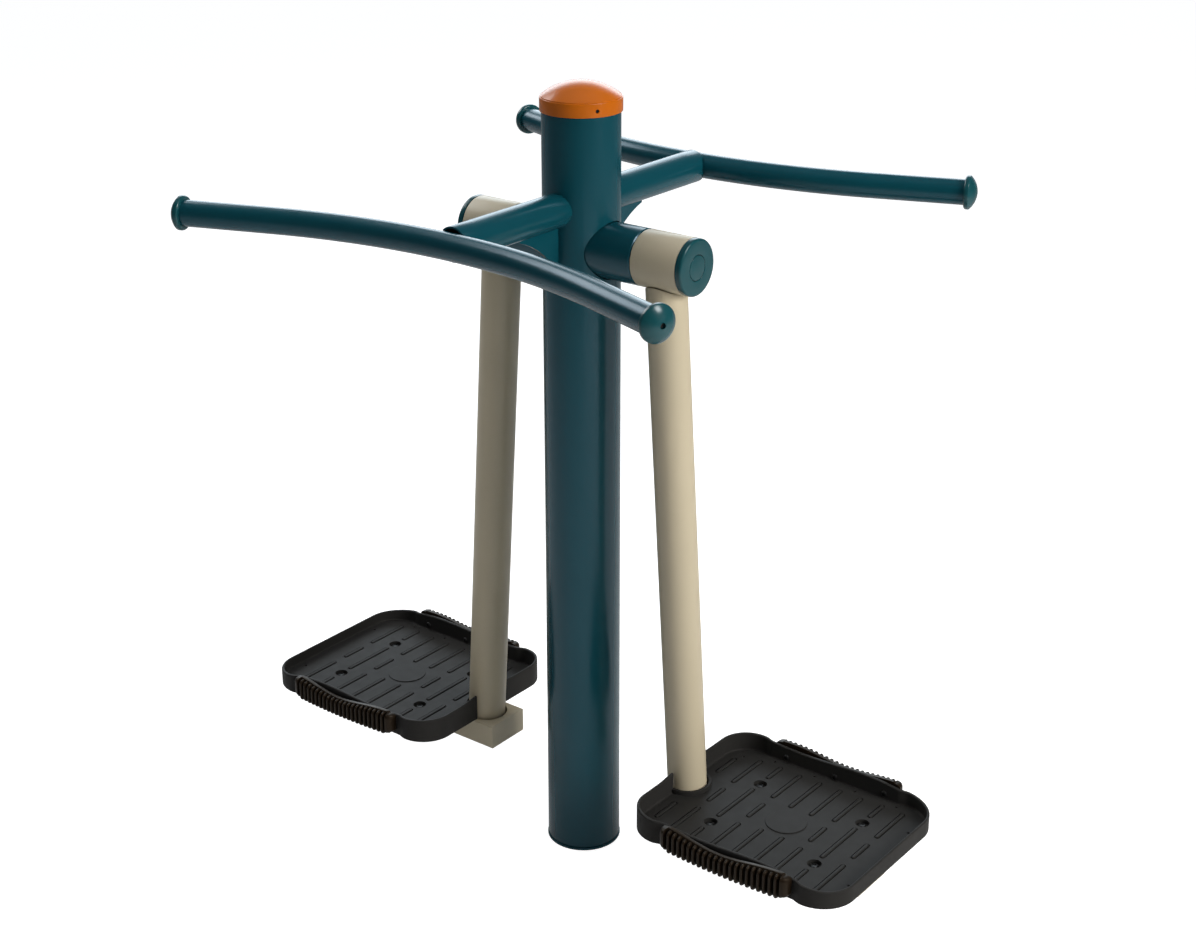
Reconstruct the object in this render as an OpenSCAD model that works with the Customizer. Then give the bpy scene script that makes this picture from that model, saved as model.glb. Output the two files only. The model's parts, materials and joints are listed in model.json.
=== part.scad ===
// Side swing trainer for two people. A post carries two foot trays that hang on long arms,
// and each arm swings from side to side on its own pair of ball bearings.
// Two bent handlebars stand on a crossarm at the top.
// Millimetres. +Z is up, +X runs along the swing axle, +Y along the crossarm.
// The origin is on the ground, in the middle of the post.

/* [Post] */
// Outer diameter of the post tube
post_d = 114; // [104:1:125]
// Wall of the post tube
post_wall = 4; // [3:0.5:6]
// Height of the post tube's top above the ground
post_top_z = 1198; // [1150:1:1300]
// How far the base disc stands out past the post
base_lip = 1; // [0.5:0.5:20]
// Thickness of the base disc's edge
base_t = 4; // [3:0.5:8]
// Depth of the base disc's raised middle, which fits into the post
base_plug_h = 10; // [6:1:20]
// Thin slit left between the base disc and the post's end
base_slit = 0.8; // [0:0.1:1]
// Pitch circle diameter of the tapped holes in the base
base_pcd = 70; // [60:1:80]
// Core diameter of the tapped holes in the base
base_hole_d = 10.2; // [8:0.1:12]
// Number of tapped holes in the base
base_holes = 4; // [3:1:6]

/* [Post cap] */
// Wall of the cap
cap_wall = 2.3; // [1.5:0.1:4]
// Clearance between the cap and the post
cap_fit = 0.2; // [0.1:0.1:0.6]
// Height of the cap's straight band
cap_band_h = 20; // [14:1:30]
// How far the band reaches down over the post
cap_lap = 17; // [12:1:19]
// Height of the cap's dome above its band
cap_dome_h = 22; // [12:1:40]
// Rounding where the dome meets the band
cap_round = 1.5; // [0.5:0.1:2.5]
// Number of screws that hold the cap
cap_screws_n = 3; // [2:1:4]
// Direction of the first cap screw, in degrees from +X
cap_screw_turn = -29.5; // [-60:0.5:0]
// Diameter of the cap screws' heads
cap_screw_head_d = 5.6; // [4:0.1:7]
// Diameter of the cap screws' shanks
cap_screw_d = 3.5; // [3:0.1:4.5]

/* [Hub] */
// Height of the swing axle above the ground
hub_z = 985; // [960:1:1000]
// Outer diameter of the hub tube and the bearing housings
hub_d = 83; // [80:1:95]
// Wall of the hub tube
hub_wall = 5; // [3:0.5:6]
// Reach of the hub tube from the middle of the post
hub_reach = 115.5; // [100:0.5:130]
// Gap between the hub tube and a bearing housing
housing_gap = 1; // [0.5:0.1:2]
// Length of a bearing housing
housing_len = 77; // [74:1:100]
// Gap between a housing and its end cap
hub_cap_gap = 0.5; // [0.3:0.1:1]
// Length of the hub's end cap
hub_cap_len = 10; // [9:0.5:16]
// Rounding of the end cap's outer edge
hub_cap_round = 3.5; // [1:0.5:5]
// Thickness of the discs welded into the hub tube's ends
hub_disc_t = 10; // [6:1:16]

/* [Bearings and stops] */
// Bore of a ball bearing
bearing_bore = 30; // [28:1:32]
// Outer diameter of a ball bearing
bearing_od = 62; // [60:1:64]
// Width of a ball bearing
bearing_w = 16; // [14:1:18]
// Diameter of a bearing ball
ball_d = 9.5; // [8:0.5:10.5]
// Number of balls in a bearing
ball_n = 9; // [7:1:10]
// Clearance between a ball and its grooves
ball_gap = 0.05; // [0.02:0.01:0.1]
// Diameter of the axle between the bearings of the two sides
axle_d = 36; // [34:1:37]
// How far a tray swings each way, in degrees
swing_angle = 35; // [15:1:45]
// Diameter of the stop pins
stop_pin_d = 8; // [6:0.5:8.5]
// Clearance around a stop pin in its slot
stop_gap = 0.3; // [0.2:0.1:0.5]
// Thickness of a stop ring
stop_ring_t = 6; // [4:0.5:8]

/* [Crossarm and handlebars] */
// Height of the crossarm and of both handlebars
crossarm_z = 1046.5; // [1030:0.5:1080]
// Outer diameter of the crossarm
crossarm_d = 50; // [44:1:60]
// Wall of the crossarm
crossarm_wall = 3; // [2:0.5:4]
// Reach of the crossarm from the middle of the post
crossarm_reach = 279; // [240:1:288]
// Outer diameter of a handlebar
handle_d = 38; // [32:1:40]
// Wall of a handlebar
handle_wall = 2.5; // [2:0.5:4]
// Distance from the post's axis to the middle of a handlebar
handle_y = 289; // [250:1:300]
// Bend radius of a handlebar
handle_bend = 835; // [600:5:1200]
// Half of a handlebar's bend, in degrees
handle_half_angle = 20; // [10:1:30]
// Length of the straight stretch at each end of a handlebar
handle_straight = 132; // [60:1:200]
// Diameter of a handlebar's end cap
handle_cap_d = 50; // [44:1:60]
// Depth of the end cap's rim
handle_cap_rim = 7; // [5:0.5:10]
// Height of the end cap's dome
handle_cap_dome = 11; // [6:0.5:16]
// Length of the end cap's plug inside the tube
handle_plug_len = 20; // [16:1:40]
// Reach of a gusset along the crossarm
gusset_reach = 86; // [60:1:120]
// Drop of a gusset down the post
gusset_drop = 66; // [50:1:90]
// Thickness of a gusset
gusset_t = 6; // [4:0.5:8]
// Width of a gusset's blunt tips
gusset_tip = 4; // [2:0.5:8]
// Radius of a gusset's hollow edge
gusset_hollow = 147; // [110:1:300]

/* [Swing arms] */
// Outer diameter of a swing arm
arm_d = 60; // [50:1:64]
// Wall of a swing arm
arm_wall = 3; // [2:0.5:5]
// Where an arm's axis meets the axle, from the middle of the post
arm_top_x = 149; // [148:0.5:158]
// Outward lean of an arm, in degrees
arm_splay = 3.66; // [0:0.02:4]
// Width of the support bar
bar_w = 80; // [76:1:90]
// Height of the support bar
bar_h = 40; // [30:1:50]
// Wall of the support bar
bar_wall = 3; // [2:0.5:5]
// Distance from the middle of the post to the support bar's inner end
bar_x0 = 158; // [150:1:165]
// Length of the support bar
bar_len = 370; // [340:1:390]
// Height of the support bar's underside above the ground
bar_z0 = 113; // [80:1:200]
// Gap around an arm in the support bar's hole
bar_hole_gap = 0.8; // [0.4:0.1:2]
// Thickness of the support bar's end plates and of the lugs under the tray
plate_t = 5; // [3:0.5:8]
// Length of a lug along the support bar
lug_len = 44; // [30:1:60]
// How far a lug reaches past its bolt
lug_edge = 18; // [12:1:25]

/* [Tray] */
// Distance from the middle of the post to the tray's inner edge
tray_x0 = 194.6; // [190:0.2:200]
// Length of the tray
tray_len = 361.6; // [350:0.2:380]
// Width of the tray at its corners
tray_w = 309; // [290:1:330]
// How far each long wall is drawn in where the bumper sits
tray_waist = 4; // [0:0.5:6]
// Length of the wall's bend from a corner to the waist
tray_bend = 18; // [12:1:18]
// Corner radius on the side of the post
corner_in = 50; // [35:1:55]
// Corner radius on the outer side
corner_out = 54; // [35:1:60]
// Wall of the tray at its two ends
end_wall = 4; // [3:0.5:6]
// Wall of the tray along its bumpers
side_wall = 5.5; // [4:0.5:7]
// Height of the tray's floor above the support bar
floor_z = 9.5; // [8:0.5:14]
// Thickness of the tray's floor
floor_t = 4; // [3:0.5:6]
// Height of the rim above the floor, at the post's side
rim_in_h = 29.5; // [24:0.5:40]
// Height of the rim above the floor, in its dip
rim_dip_h = 24.7; // [22:0.1:35]
// Height of the rim above the floor, at its crest
rim_crest_h = 28.7; // [22:0.1:40]
// Height of the rim above the floor, at the outer end
rim_out_h = 17.5; // [14:0.5:30]
// Gap around the arm in the tray's notch
notch_gap = 3; // [2:0.5:6]
// Wall of the collar around the notch
collar_wall = 5.5; // [3:0.5:8]
// Height of the collar above the floor
collar_h = 7; // [4:0.5:12]
// Width of a floor rib
rib_w = 5; // [3:0.5:8]
// Height of a floor rib
rib_h = 2; // [0.5:0.1:3]
// Distance from the tray's inner edge to its first rib
rib_start = 24.4; // [22:0.2:30]
// Distance from the last rib to the tray's outer edge
rib_end = 49.2; // [45:0.2:60]
// Distance of a tray bolt from the tray's middle line
tray_bolt_y = 67; // [62:1:75]
// Diameter of the recess around a tray bolt
recess_d = 21; // [19:0.5:24]
// Diameter of the plain round pad in the middle of the floor
pad_d = 62; // [40:1:68]
// Diameter of a drain hole
drain_d = 3.5; // [2:0.5:6]

/* [Bumpers] */
// Length of a bumper
bumper_len = 220; // [200:1:230]
// Depth of a bumper from its back to the tips of its ribs
bumper_depth = 15.5; // [12:0.5:20]
// Thickness of a bumper's backing
bumper_back = 6; // [4.5:0.5:8]
// How far a bumper bows away from the tray
bumper_bow = 4.5; // [2:0.5:8]
// Height of a bumper at its ends
bumper_h = 40; // [34:0.5:42]
// How far a bumper's top dips in the middle
bumper_dip = 9.5; // [4:0.5:12]
// Rounding of a bumper's outer edges
bumper_round = 7; // [3:0.5:9]
// Number of ribs on a bumper
bumper_ribs = 21; // [9:2:25]
// Gap between a bumper and the tray
bumper_gap = 0.3; // [0.2:0.1:0.6]
// Distance between a bumper's middle bolt and its outer bolts
bumper_bolt_x = 87; // [70:1:92]

/* [Hidden] */

// Sides of an ordinary circle
$fn = 96;
// Sides of a circle so large that only a short arc of it is used
fine_n = 720;
// How far a cut runs past the surface it opens
over = 1;
LEFT = -1;
RIGHT = 1;
FRONT = -1;
BACK = 1;

TEAL = [0.06, 0.24, 0.28];
BEIGE = [0.76, 0.70, 0.58];
ORANGE = [0.80, 0.38, 0.07];
BLACK = [0.17, 0.17, 0.18];
RUBBER = [0.13, 0.10, 0.08];
STEEL = [0.62, 0.63, 0.65];

// Post and cap
post_r = post_d / 2;
post_bore_r = post_r - post_wall;
post_z0 = base_t + base_slit;
base_fit = 0.1;
cap_r = post_r + cap_fit + cap_wall;
cap_z0 = post_top_z - cap_lap;
cap_band_z = cap_z0 + cap_band_h;
cap_dome_r = (cap_r * cap_r + cap_dome_h * cap_dome_h) / (2 * cap_dome_h);
cap_screw_z_share = 0.45;
cap_screw_z = cap_z0 + cap_band_h * cap_screw_z_share;
cap_screw_head_h = 1.6;
cap_screw_len = 12;

// Hub, from the middle of the post outwards
hub_r = hub_d / 2;
hub_bore_r = hub_r - hub_wall;
housing_x0 = hub_reach + housing_gap;
housing_x1 = housing_x0 + housing_len;
hub_cap_x0 = housing_x1 + hub_cap_gap;
hub_cap_x1 = hub_cap_x0 + hub_cap_len;
axle_r = axle_d / 2;
bearing_r = bearing_od / 2;
bore_r = bearing_bore / 2;
ring_inset = 2;
ring_gap = 0.5;
stop_ring_x0 = housing_x0 + ring_inset;
bearing_a_x0 = stop_ring_x0 + stop_ring_t + ring_gap;
bearing_a_x1 = bearing_a_x0 + bearing_w;
outer_inset = 9.5;
bearing_b_x1 = housing_x1 - outer_inset;
bearing_b_x0 = bearing_b_x1 - bearing_w;
land_h = 3;
spacer_wall = 3.5;
collar_t = 5;
axle_play = 0.5;
axle_x1 = hub_cap_x0 - axle_play;
ball_r = ball_d / 2;
ball_track_r = (bore_r + bearing_r) / 2;
shoulder_share = 0.6;
stop_pin_r = stop_pin_d / 2;
stop_web = 2.2;
stop_r = bearing_r - stop_web - stop_gap - stop_pin_r;
stop_ring_bore_gap = 0.5;
stop_pin_tail = 1;

// End cap of the hub with its screw and plug
plug_d = 36.3;
plug_groove = 0.6;
hub_web_t = 3.5;
hub_screw_d = 12;
hub_screw_head_d = 18;
hub_screw_head_h = 4;
hub_screw_len = 32;
hub_screw_gap = 0.3;
socket_share = 0.5;

// Handlebars
handle_r = handle_d / 2;
handle_bore_r = handle_r - handle_wall;
handle_cy = handle_y + handle_bend;
handle_tx = handle_bend * sin(handle_half_angle);
handle_ty = handle_cy - handle_bend * cos(handle_half_angle);
handle_ex = handle_tx + handle_straight * cos(handle_half_angle);
handle_ey = handle_ty + handle_straight * sin(handle_half_angle);
handle_cap_r = handle_cap_d / 2;
handle_cap_back = 3.5;
handle_dome_r = (handle_cap_r * handle_cap_r + handle_cap_dome * handle_cap_dome)
    / (2 * handle_cap_dome);
plug_fit = 0.1;
cap_hole_d = 7.5;
cap_hole_depth = 5;
tail_screw_d = 4.2;
tail_screw_head_h = 2.4;
tail_screw_len = 24;

// Arms and support bars
arm_r = arm_d / 2;
bar_x1 = bar_x0 + bar_len;
bar_top_z = bar_z0 + bar_h;
bar_floor_z = bar_z0 + bar_wall;

// Tray
tray_x1 = tray_x0 + tray_len;
tray_half = tray_w / 2;
tray_floor_z = bar_top_z + floor_z;
wall_in_y = tray_half - tray_waist - side_wall;
wall_out_y = tray_half - tray_waist;
arc_n = 9;
bend_n = 7;
rim_n = 12;
rim_in_share = 0;
rim_dip_share = 0.36;
rim_crest_share = 0.65;
rim_out_share = 1;
notch_r = arm_r + notch_gap;
notch_z = tray_floor_z;
boss_wall = 4;
recess_web = 3.5;
keel_y = 24;
keel_w = 4;
pad_h = 1.2;
pad_share = 0.515;
drain_edge = 9;
drain_end = 18;
drain_end_y_share = 0.55;
drain_near_share = 0.087;
drain_near_y_share = 0.77;
// Each kind of rib column as shares of the tray's half width:
// half of the middle rib, then the start and end of the outer ribs
edge_shares = [0, 0.356, 0.686];
long_shares = [0.142, 0.291, 0.809];
bolt_shares = [0.311, 0.563, 0.822];
pad_shares = [0, 0.246, 0.809];
column_shares = [
    edge_shares, long_shares, bolt_shares, long_shares, pad_shares,
    pad_shares, long_shares, bolt_shares, long_shares
];
// Ribs stand at equal steps along the tray
rib_pitch = (tray_len - rib_start - rib_end) / (len(column_shares) - 1);
bolt_columns = [2, 7];
drain_columns = [1.5, 3.5, 5.5, 7.5];

// Tray bolts and nuts
tray_bolt_d = 8;
tray_bolt_head_d = 14;
tray_bolt_head_h = 4.4;
tray_nut_af = 13;
tray_nut_h = 7;
tray_bolt_tail = 2;
bolt_fit = 0.2;

// Bumpers
bumper_x = tray_x0 + tray_len / 2;
bumper_z0 = bar_top_z + bumper_gap;
bumper_pitch = bumper_len / (bumper_ribs + 3);
bumper_slot_share = 0.52;
bumper_back_y = wall_out_y + bumper_gap;
bumper_r = (bumper_len * bumper_len / 4 + bumper_bow * bumper_bow) / (2 * bumper_bow);
bumper_cy = bumper_back_y + bumper_bow - bumper_r;
bumper_end_round = 6;
bumper_dip_r = (bumper_len * bumper_len / 4 + bumper_dip * bumper_dip) / (2 * bumper_dip);
wall_bolt_d = 6;
wall_bolt_head_d = 10.5;
wall_bolt_head_h = 3.3;
wall_bolt_z = 8.5;
wall_bolt_drop = 3;
wall_bolt_bite = 4;
bumper_boss_r = 7;

// A smooth step from 0 to 1
function ease(t) = (1 - cos(180 * t)) / 2;
// Points of an elliptic arc about (cx, cy)
function arc(cx, cy, rx, ry, a0, a1, n) =
    [for (i = [0:n]) let (a = a0 + (a1 - a0) * i / n) [cx + rx * cos(a), cy + ry * sin(a)]];
// Distance from the post's axis to an arm's axis at height z
function arm_x(z) = arm_top_x + (hub_z - z) * tan(arm_splay);
// Place of a floor rib's column along the tray
function rib_x(i) = tray_x0 + rib_start + rib_pitch * i;

module on_side(side) {
    mirror([side < 0 ? 1 : 0, 0, 0]) children();
}

module on_face(face) {
    mirror([0, face < 0 ? 1 : 0, 0]) children();
}

// A cylinder along +X about the swing axle, from x0 to x1
module hub_bar(r, x0, x1) {
    translate([x0, 0, hub_z]) rotate([0, 90, 0]) cylinder(r = r, h = x1 - x0);
}

module hub_ring(r_out, r_in, x0, x1) {
    difference() {
        hub_bar(r_out, x0, x1);
        hub_bar(r_in, x0 - over, x1 + over);
    }
}

// Post and its base
module post() {
    color(TEAL) difference() {
        translate([0, 0, post_z0]) cylinder(r = post_r, h = post_top_z - post_z0);
        translate([0, 0, post_z0 - over])
            cylinder(r = post_bore_r, h = post_top_z - post_z0 + 2 * over);
        hub_bar(hub_r, -post_d, post_d);
        cap_screw_places() cylinder(d = cap_screw_d, h = cap_screw_len);
    }
}

module base_disc() {
    color(TEAL) difference() {
        union() {
            cylinder(r = post_r + base_lip, h = base_t);
            cylinder(r = post_bore_r - base_fit, h = base_t + base_plug_h);
        }
        for (i = [0:base_holes - 1])
            rotate([0, 0, 360 / base_holes * (i + 1 / 2)])
                translate([base_pcd / 2, 0, -over])
                    cylinder(d = base_hole_d, h = base_t + base_plug_h + 2 * over);
    }
}

// Cap screws point inwards, with their heads on the cap's band
module cap_screw_places() {
    for (i = [0:cap_screws_n - 1])
        rotate([0, 0, cap_screw_turn + 360 / cap_screws_n * i])
            translate([cap_r, 0, cap_screw_z]) rotate([0, -90, 0]) children();
}

module post_cap() {
    dome_c = cap_band_z + cap_dome_h - cap_dome_r;
    color(ORANGE) difference() {
        union() {
            translate([0, 0, cap_z0]) cylinder(r = cap_r, h = cap_band_h - cap_round);
            translate([0, 0, cap_band_z - cap_round])
                cylinder(r1 = cap_r, r2 = cap_r - cap_round, h = cap_round);
            intersection() {
                translate([0, 0, dome_c]) sphere(r = cap_dome_r);
                translate([0, 0, cap_band_z]) cylinder(r = cap_r - cap_round, h = cap_dome_h);
            }
        }
        translate([0, 0, cap_z0 - over])
            cylinder(r = post_r + cap_fit, h = cap_lap + cap_fit + over);
        intersection() {
            translate([0, 0, dome_c]) sphere(r = cap_dome_r - cap_wall);
            translate([0, 0, cap_z0]) cylinder(r = post_bore_r, h = cap_band_h + cap_dome_h);
        }
        cap_screw_places() {
            cylinder(d = cap_screw_d, h = cap_screw_len);
            translate([0, 0, -over]) cylinder(d = cap_screw_head_d, h = over + cap_screw_head_h);
        }
    }
}

module cap_screws() {
    color(STEEL) cap_screw_places() difference() {
        union() {
            translate([0, 0, cap_screw_head_h / 2])
                cylinder(d = cap_screw_head_d, h = cap_screw_head_h / 2);
            translate([0, 0, cap_screw_head_h])
                cylinder(d = cap_screw_d, h = cap_screw_len - cap_screw_head_h);
        }
        translate([0, 0, -over])
            cylinder(d = cap_screw_d * socket_share, h = over + cap_screw_head_h, $fn = 6);
    }
}

// Crossarm halves, open at their ends, with a saddle for the handlebar
module crossarm(face) {
    color(TEAL) on_face(face) difference() {
        translate([0, 0, crossarm_z]) rotate([-90, 0, 0])
            cylinder(d = crossarm_d, h = crossarm_reach);
        translate([0, -over, crossarm_z]) rotate([-90, 0, 0])
            cylinder(d = crossarm_d - 2 * crossarm_wall, h = crossarm_reach + 2 * over);
        cylinder(r = post_r, h = post_top_z);
        handle_middle(handle_r);
    }
}

// Right-angled plates under the crossarm, with one hollow edge
module gussets() {
    r0 = post_r;
    z0 = crossarm_z - crossarm_d / 2;
    tip = [r0 + gusset_reach, z0 - gusset_tip];
    foot = [r0 + gusset_tip, z0 - gusset_drop];
    run = foot - tip;
    chord = norm(run);
    across = [-run[1], run[0]] / chord;
    centre = (tip + foot) / 2 + across * sqrt(pow(gusset_hollow, 2) - pow(chord / 2, 2));
    a0 = atan2(tip[1] - centre[1], tip[0] - centre[0]);
    a1 = atan2(foot[1] - centre[1], foot[0] - centre[0]);
    color(TEAL) for (face = [FRONT, BACK]) on_face(face) difference() {
        rotate([90, 0, 90]) linear_extrude(height = gusset_t, center = true)
            polygon(concat(
                [[r0 - post_wall, foot[1]], [r0 - post_wall, crossarm_z], [tip[0], crossarm_z]],
                arc(centre[0], centre[1], gusset_hollow, gusset_hollow, a0, a1, 2 * arc_n)
            ));
        cylinder(r = post_r, h = post_top_z);
        translate([0, 0, crossarm_z]) rotate([-90, 0, 0])
            cylinder(d = crossarm_d, h = crossarm_reach);
    }
}

// The bent middle of a handlebar, and its two straight ends, as bars of radius r
module handle_middle(r) {
    translate([0, handle_cy, crossarm_z]) rotate([0, 0, -90 - handle_half_angle])
        rotate_extrude(angle = 2 * handle_half_angle, $fn = fine_n)
            translate([handle_bend, 0]) circle(r = r, $fn = 48);
}

module handle_straights(r, extra) {
    for (side = [LEFT, RIGHT]) on_side(side)
        translate([handle_tx, handle_ty, crossarm_z]) rotate([0, 90, handle_half_angle])
            cylinder(r = r, h = handle_straight + extra);
}

module handlebar(face) {
    color(TEAL) on_face(face) {
        difference() {
            handle_middle(handle_r);
            handle_middle(handle_bore_r);
        }
        difference() {
            handle_straights(handle_r, 0);
            handle_straights(handle_bore_r, over);
        }
    }
}

module handle_end(face, side) {
    on_face(face) on_side(side)
        translate([handle_ex, handle_ey, crossarm_z]) rotate([0, 90, handle_half_angle]) children();
}

module handle_cap(face, side) {
    dome_z = handle_cap_rim + handle_cap_dome - handle_dome_r;
    color(TEAL) handle_end(face, side) difference() {
        union() {
            rotate_extrude() polygon(concat(
                [[0, 0]],
                arc(handle_cap_r - handle_cap_back, handle_cap_back,
                    handle_cap_back, handle_cap_back, -90, 0, arc_n),
                [[handle_cap_r, handle_cap_rim], [0, handle_cap_rim]]
            ));
            intersection() {
                translate([0, 0, dome_z]) sphere(r = handle_dome_r);
                translate([0, 0, handle_cap_rim]) cylinder(r = handle_cap_r, h = handle_cap_dome);
            }
            translate([0, 0, -handle_plug_len])
                cylinder(r = handle_bore_r - plug_fit, h = handle_plug_len + over);
        }
        translate([0, 0, handle_cap_rim + handle_cap_dome - cap_hole_depth])
            cylinder(d = cap_hole_d, h = cap_hole_depth + over);
        translate([0, 0, -handle_plug_len - over])
            cylinder(d = tail_screw_d, h = handle_plug_len + handle_cap_rim + handle_cap_dome);
    }
}

module handle_cap_screws() {
    head_z = handle_cap_rim + handle_cap_dome - cap_hole_depth;
    color(STEEL) for (face = [FRONT, BACK], side = [LEFT, RIGHT]) handle_end(face, side)
        difference() {
            union() {
                translate([0, 0, head_z])
                    cylinder(d = cap_hole_d - bolt_fit, h = tail_screw_head_h);
                translate([0, 0, head_z - tail_screw_len])
                    cylinder(d = tail_screw_d, h = tail_screw_len);
            }
            translate([0, 0, head_z + tail_screw_head_h / 2])
                cylinder(d = cap_hole_d * socket_share, h = tail_screw_head_h, $fn = 6);
        }
}

// Hub: the fixed tube, its discs and the axle
module hub_tube() {
    color(TEAL) hub_ring(hub_r, hub_bore_r, -hub_reach, hub_reach);
}

module stop_pin_place() {
    translate([0, 0, stop_r]) children();
}

module hub_disc(side) {
    color(STEEL) on_side(side) difference() {
        hub_bar(hub_bore_r, hub_reach - hub_disc_t, hub_reach);
        hub_bar(axle_r, hub_reach - hub_disc_t - over, hub_reach + over);
        stop_pin_place() hub_bar(stop_pin_r, hub_reach - hub_disc_t - over, hub_reach + over);
    }
}

module stop_pins() {
    color(STEEL) for (side = [LEFT, RIGHT]) on_side(side) stop_pin_place()
        hub_bar(stop_pin_r, hub_reach - hub_disc_t, stop_ring_x0 + stop_ring_t - stop_pin_tail);
}

module axle() {
    color(STEEL) difference() {
        union() {
            hub_bar(axle_r, -bearing_a_x0, bearing_a_x0);
            hub_bar(bore_r, -axle_x1, axle_x1);
        }
        for (side = [LEFT, RIGHT]) on_side(side)
            hub_bar(hub_screw_d / 2, hub_cap_x0 + hub_web_t - hub_screw_len, axle_x1 + over);
    }
}

// Ball bearings
module both_bearings() {
    for (x = [bearing_a_x0, bearing_b_x0]) translate([x, 0, 0]) children();
}

module ball_track() {
    translate([bearing_w / 2, 0, hub_z]) rotate([0, 90, 0]) rotate_extrude()
        translate([ball_track_r, 0]) circle(r = ball_r + ball_gap);
}

module bearing_inner_rings() {
    color(STEEL) for (side = [LEFT, RIGHT]) on_side(side) both_bearings() difference() {
        hub_ring(ball_track_r - ball_r * shoulder_share, bore_r, 0, bearing_w);
        ball_track();
    }
}

module bearing_outer_rings(side) {
    color(STEEL) on_side(side) both_bearings() difference() {
        hub_ring(bearing_r, ball_track_r + ball_r * shoulder_share, 0, bearing_w);
        ball_track();
    }
}

module bearing_balls(side) {
    color(STEEL) on_side(side) both_bearings() translate([bearing_w / 2, 0, hub_z])
        for (i = [0:ball_n - 1])
            rotate([360 / ball_n * i, 0, 0]) translate([0, 0, ball_track_r]) sphere(r = ball_r);
}

module bearing_spacers() {
    color(STEEL) for (side = [LEFT, RIGHT]) on_side(side)
        hub_ring(bore_r + spacer_wall, bore_r, bearing_a_x1, bearing_b_x0);
}

module axle_collars() {
    color(STEEL) for (side = [LEFT, RIGHT]) on_side(side)
        hub_ring(bore_r + collar_t, bore_r, bearing_b_x1, hub_cap_x0);
}

// End cap of the hub, clamped on the collar by a screw under a round plug
module hub_cap(side) {
    web_x = hub_cap_x0 + hub_web_t;
    color(TEAL) on_side(side) difference() {
        translate([hub_cap_x0, 0, hub_z]) rotate([0, 90, 0]) rotate_extrude() polygon(concat(
            [[0, 0], [hub_r, 0]],
            arc(hub_r - hub_cap_round, hub_cap_len - hub_cap_round,
                hub_cap_round, hub_cap_round, 0, 90, arc_n),
            [[0, hub_cap_len]]
        ));
        hub_bar(plug_d / 2 + plug_groove, web_x, hub_cap_x1 + over);
        hub_bar(hub_screw_d / 2 + bolt_fit, hub_cap_x0 - over, hub_cap_x1);
    }
}

module hub_cap_screws() {
    web_x = hub_cap_x0 + hub_web_t;
    color(STEEL) for (side = [LEFT, RIGHT]) on_side(side) difference() {
        union() {
            hub_bar(hub_screw_head_d / 2, web_x, web_x + hub_screw_head_h);
            hub_bar(hub_screw_d / 2, web_x - hub_screw_len, web_x);
        }
        translate([web_x + hub_screw_head_h / 2, 0, hub_z]) rotate([0, 90, 0])
            cylinder(d = hub_screw_head_d * socket_share, h = hub_screw_head_h, $fn = 6);
    }
}

module hub_plug(side) {
    color(TEAL) on_side(side)
        hub_bar(plug_d / 2, hub_cap_x0 + hub_web_t + hub_screw_head_h + hub_screw_gap, hub_cap_x1);
}

// Bearing housing, bored from both ends up to a land between the bearings
module housing(side) {
    color(BEIGE) on_side(side) difference() {
        hub_bar(hub_r, housing_x0, housing_x1);
        hub_bar(bearing_r, housing_x0 - over, bearing_a_x1);
        hub_bar(bearing_r, bearing_b_x0, housing_x1 + over);
        hub_bar(bearing_r - land_h, housing_x0, housing_x1);
    }
}

// Ring in the housing whose curved slot leaves room for the stop pin over the whole swing
module stop_ring(side) {
    slot_r = stop_pin_r + stop_gap;
    slot_angle = swing_angle + asin(slot_r / stop_r);
    x1 = stop_ring_x0 + stop_ring_t;
    color(STEEL) on_side(side) difference() {
        hub_ring(bearing_r, axle_r + stop_ring_bore_gap, stop_ring_x0, x1);
        intersection() {
            hub_ring(stop_r + slot_r, stop_r - slot_r, stop_ring_x0 - over, x1 + over);
            translate([stop_ring_x0 - 3 * over, 0, hub_z]) rotate([90, 0, 90])
                linear_extrude(height = stop_ring_t + 6 * over) polygon([
                    [0, 0],
                    [-hub_d * sin(slot_angle), hub_d * cos(slot_angle)],
                    [hub_d * sin(slot_angle), hub_d * cos(slot_angle)]
                ]);
        }
    }
}

// Swing arm, welded under the housing and down inside the support bar
module arm_core(r, z0, z1) {
    translate([arm_x(z0), 0, z0]) rotate([0, -arm_splay, 0])
        cylinder(r = r, h = (z1 - z0) / cos(arm_splay));
}

module arm(side) {
    color(BEIGE) on_side(side) difference() {
        arm_core(arm_r, bar_z0 - bar_h, hub_z);
        arm_core(arm_r - arm_wall, bar_z0 - bar_h - over, hub_z + over);
        hub_bar(hub_r, 0, 2 * hub_cap_x1);
        translate([0, -bar_w, 0]) cube([2 * bar_x1, 2 * bar_w, bar_floor_z]);
    }
}

module support_bar(side) {
    color(BEIGE) on_side(side) difference() {
        translate([bar_x0, -bar_w / 2, bar_z0]) cube([bar_len, bar_w, bar_h]);
        translate([bar_x0 - over, -bar_w / 2 + bar_wall, bar_floor_z])
            cube([bar_len + 2 * over, bar_w - 2 * bar_wall, bar_h - 2 * bar_wall]);
        arm_core(arm_r + bar_hole_gap, bar_top_z - 3 * bar_wall, bar_top_z + 3 * bar_wall);
    }
}

module bar_end_plates(side) {
    color(BEIGE) on_side(side) for (x = [bar_x0, bar_x1 - bar_wall])
        translate([x, -bar_w / 2 + bar_wall, bar_floor_z])
            cube([bar_wall, bar_w - 2 * bar_wall, bar_h - 2 * bar_wall]);
}

// Every place of a tray bolt, on the tray's underside
module tray_bolt_places() {
    for (column = bolt_columns, face = [FRONT, BACK])
        translate([rib_x(column), face * tray_bolt_y, bar_top_z]) children();
}

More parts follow.
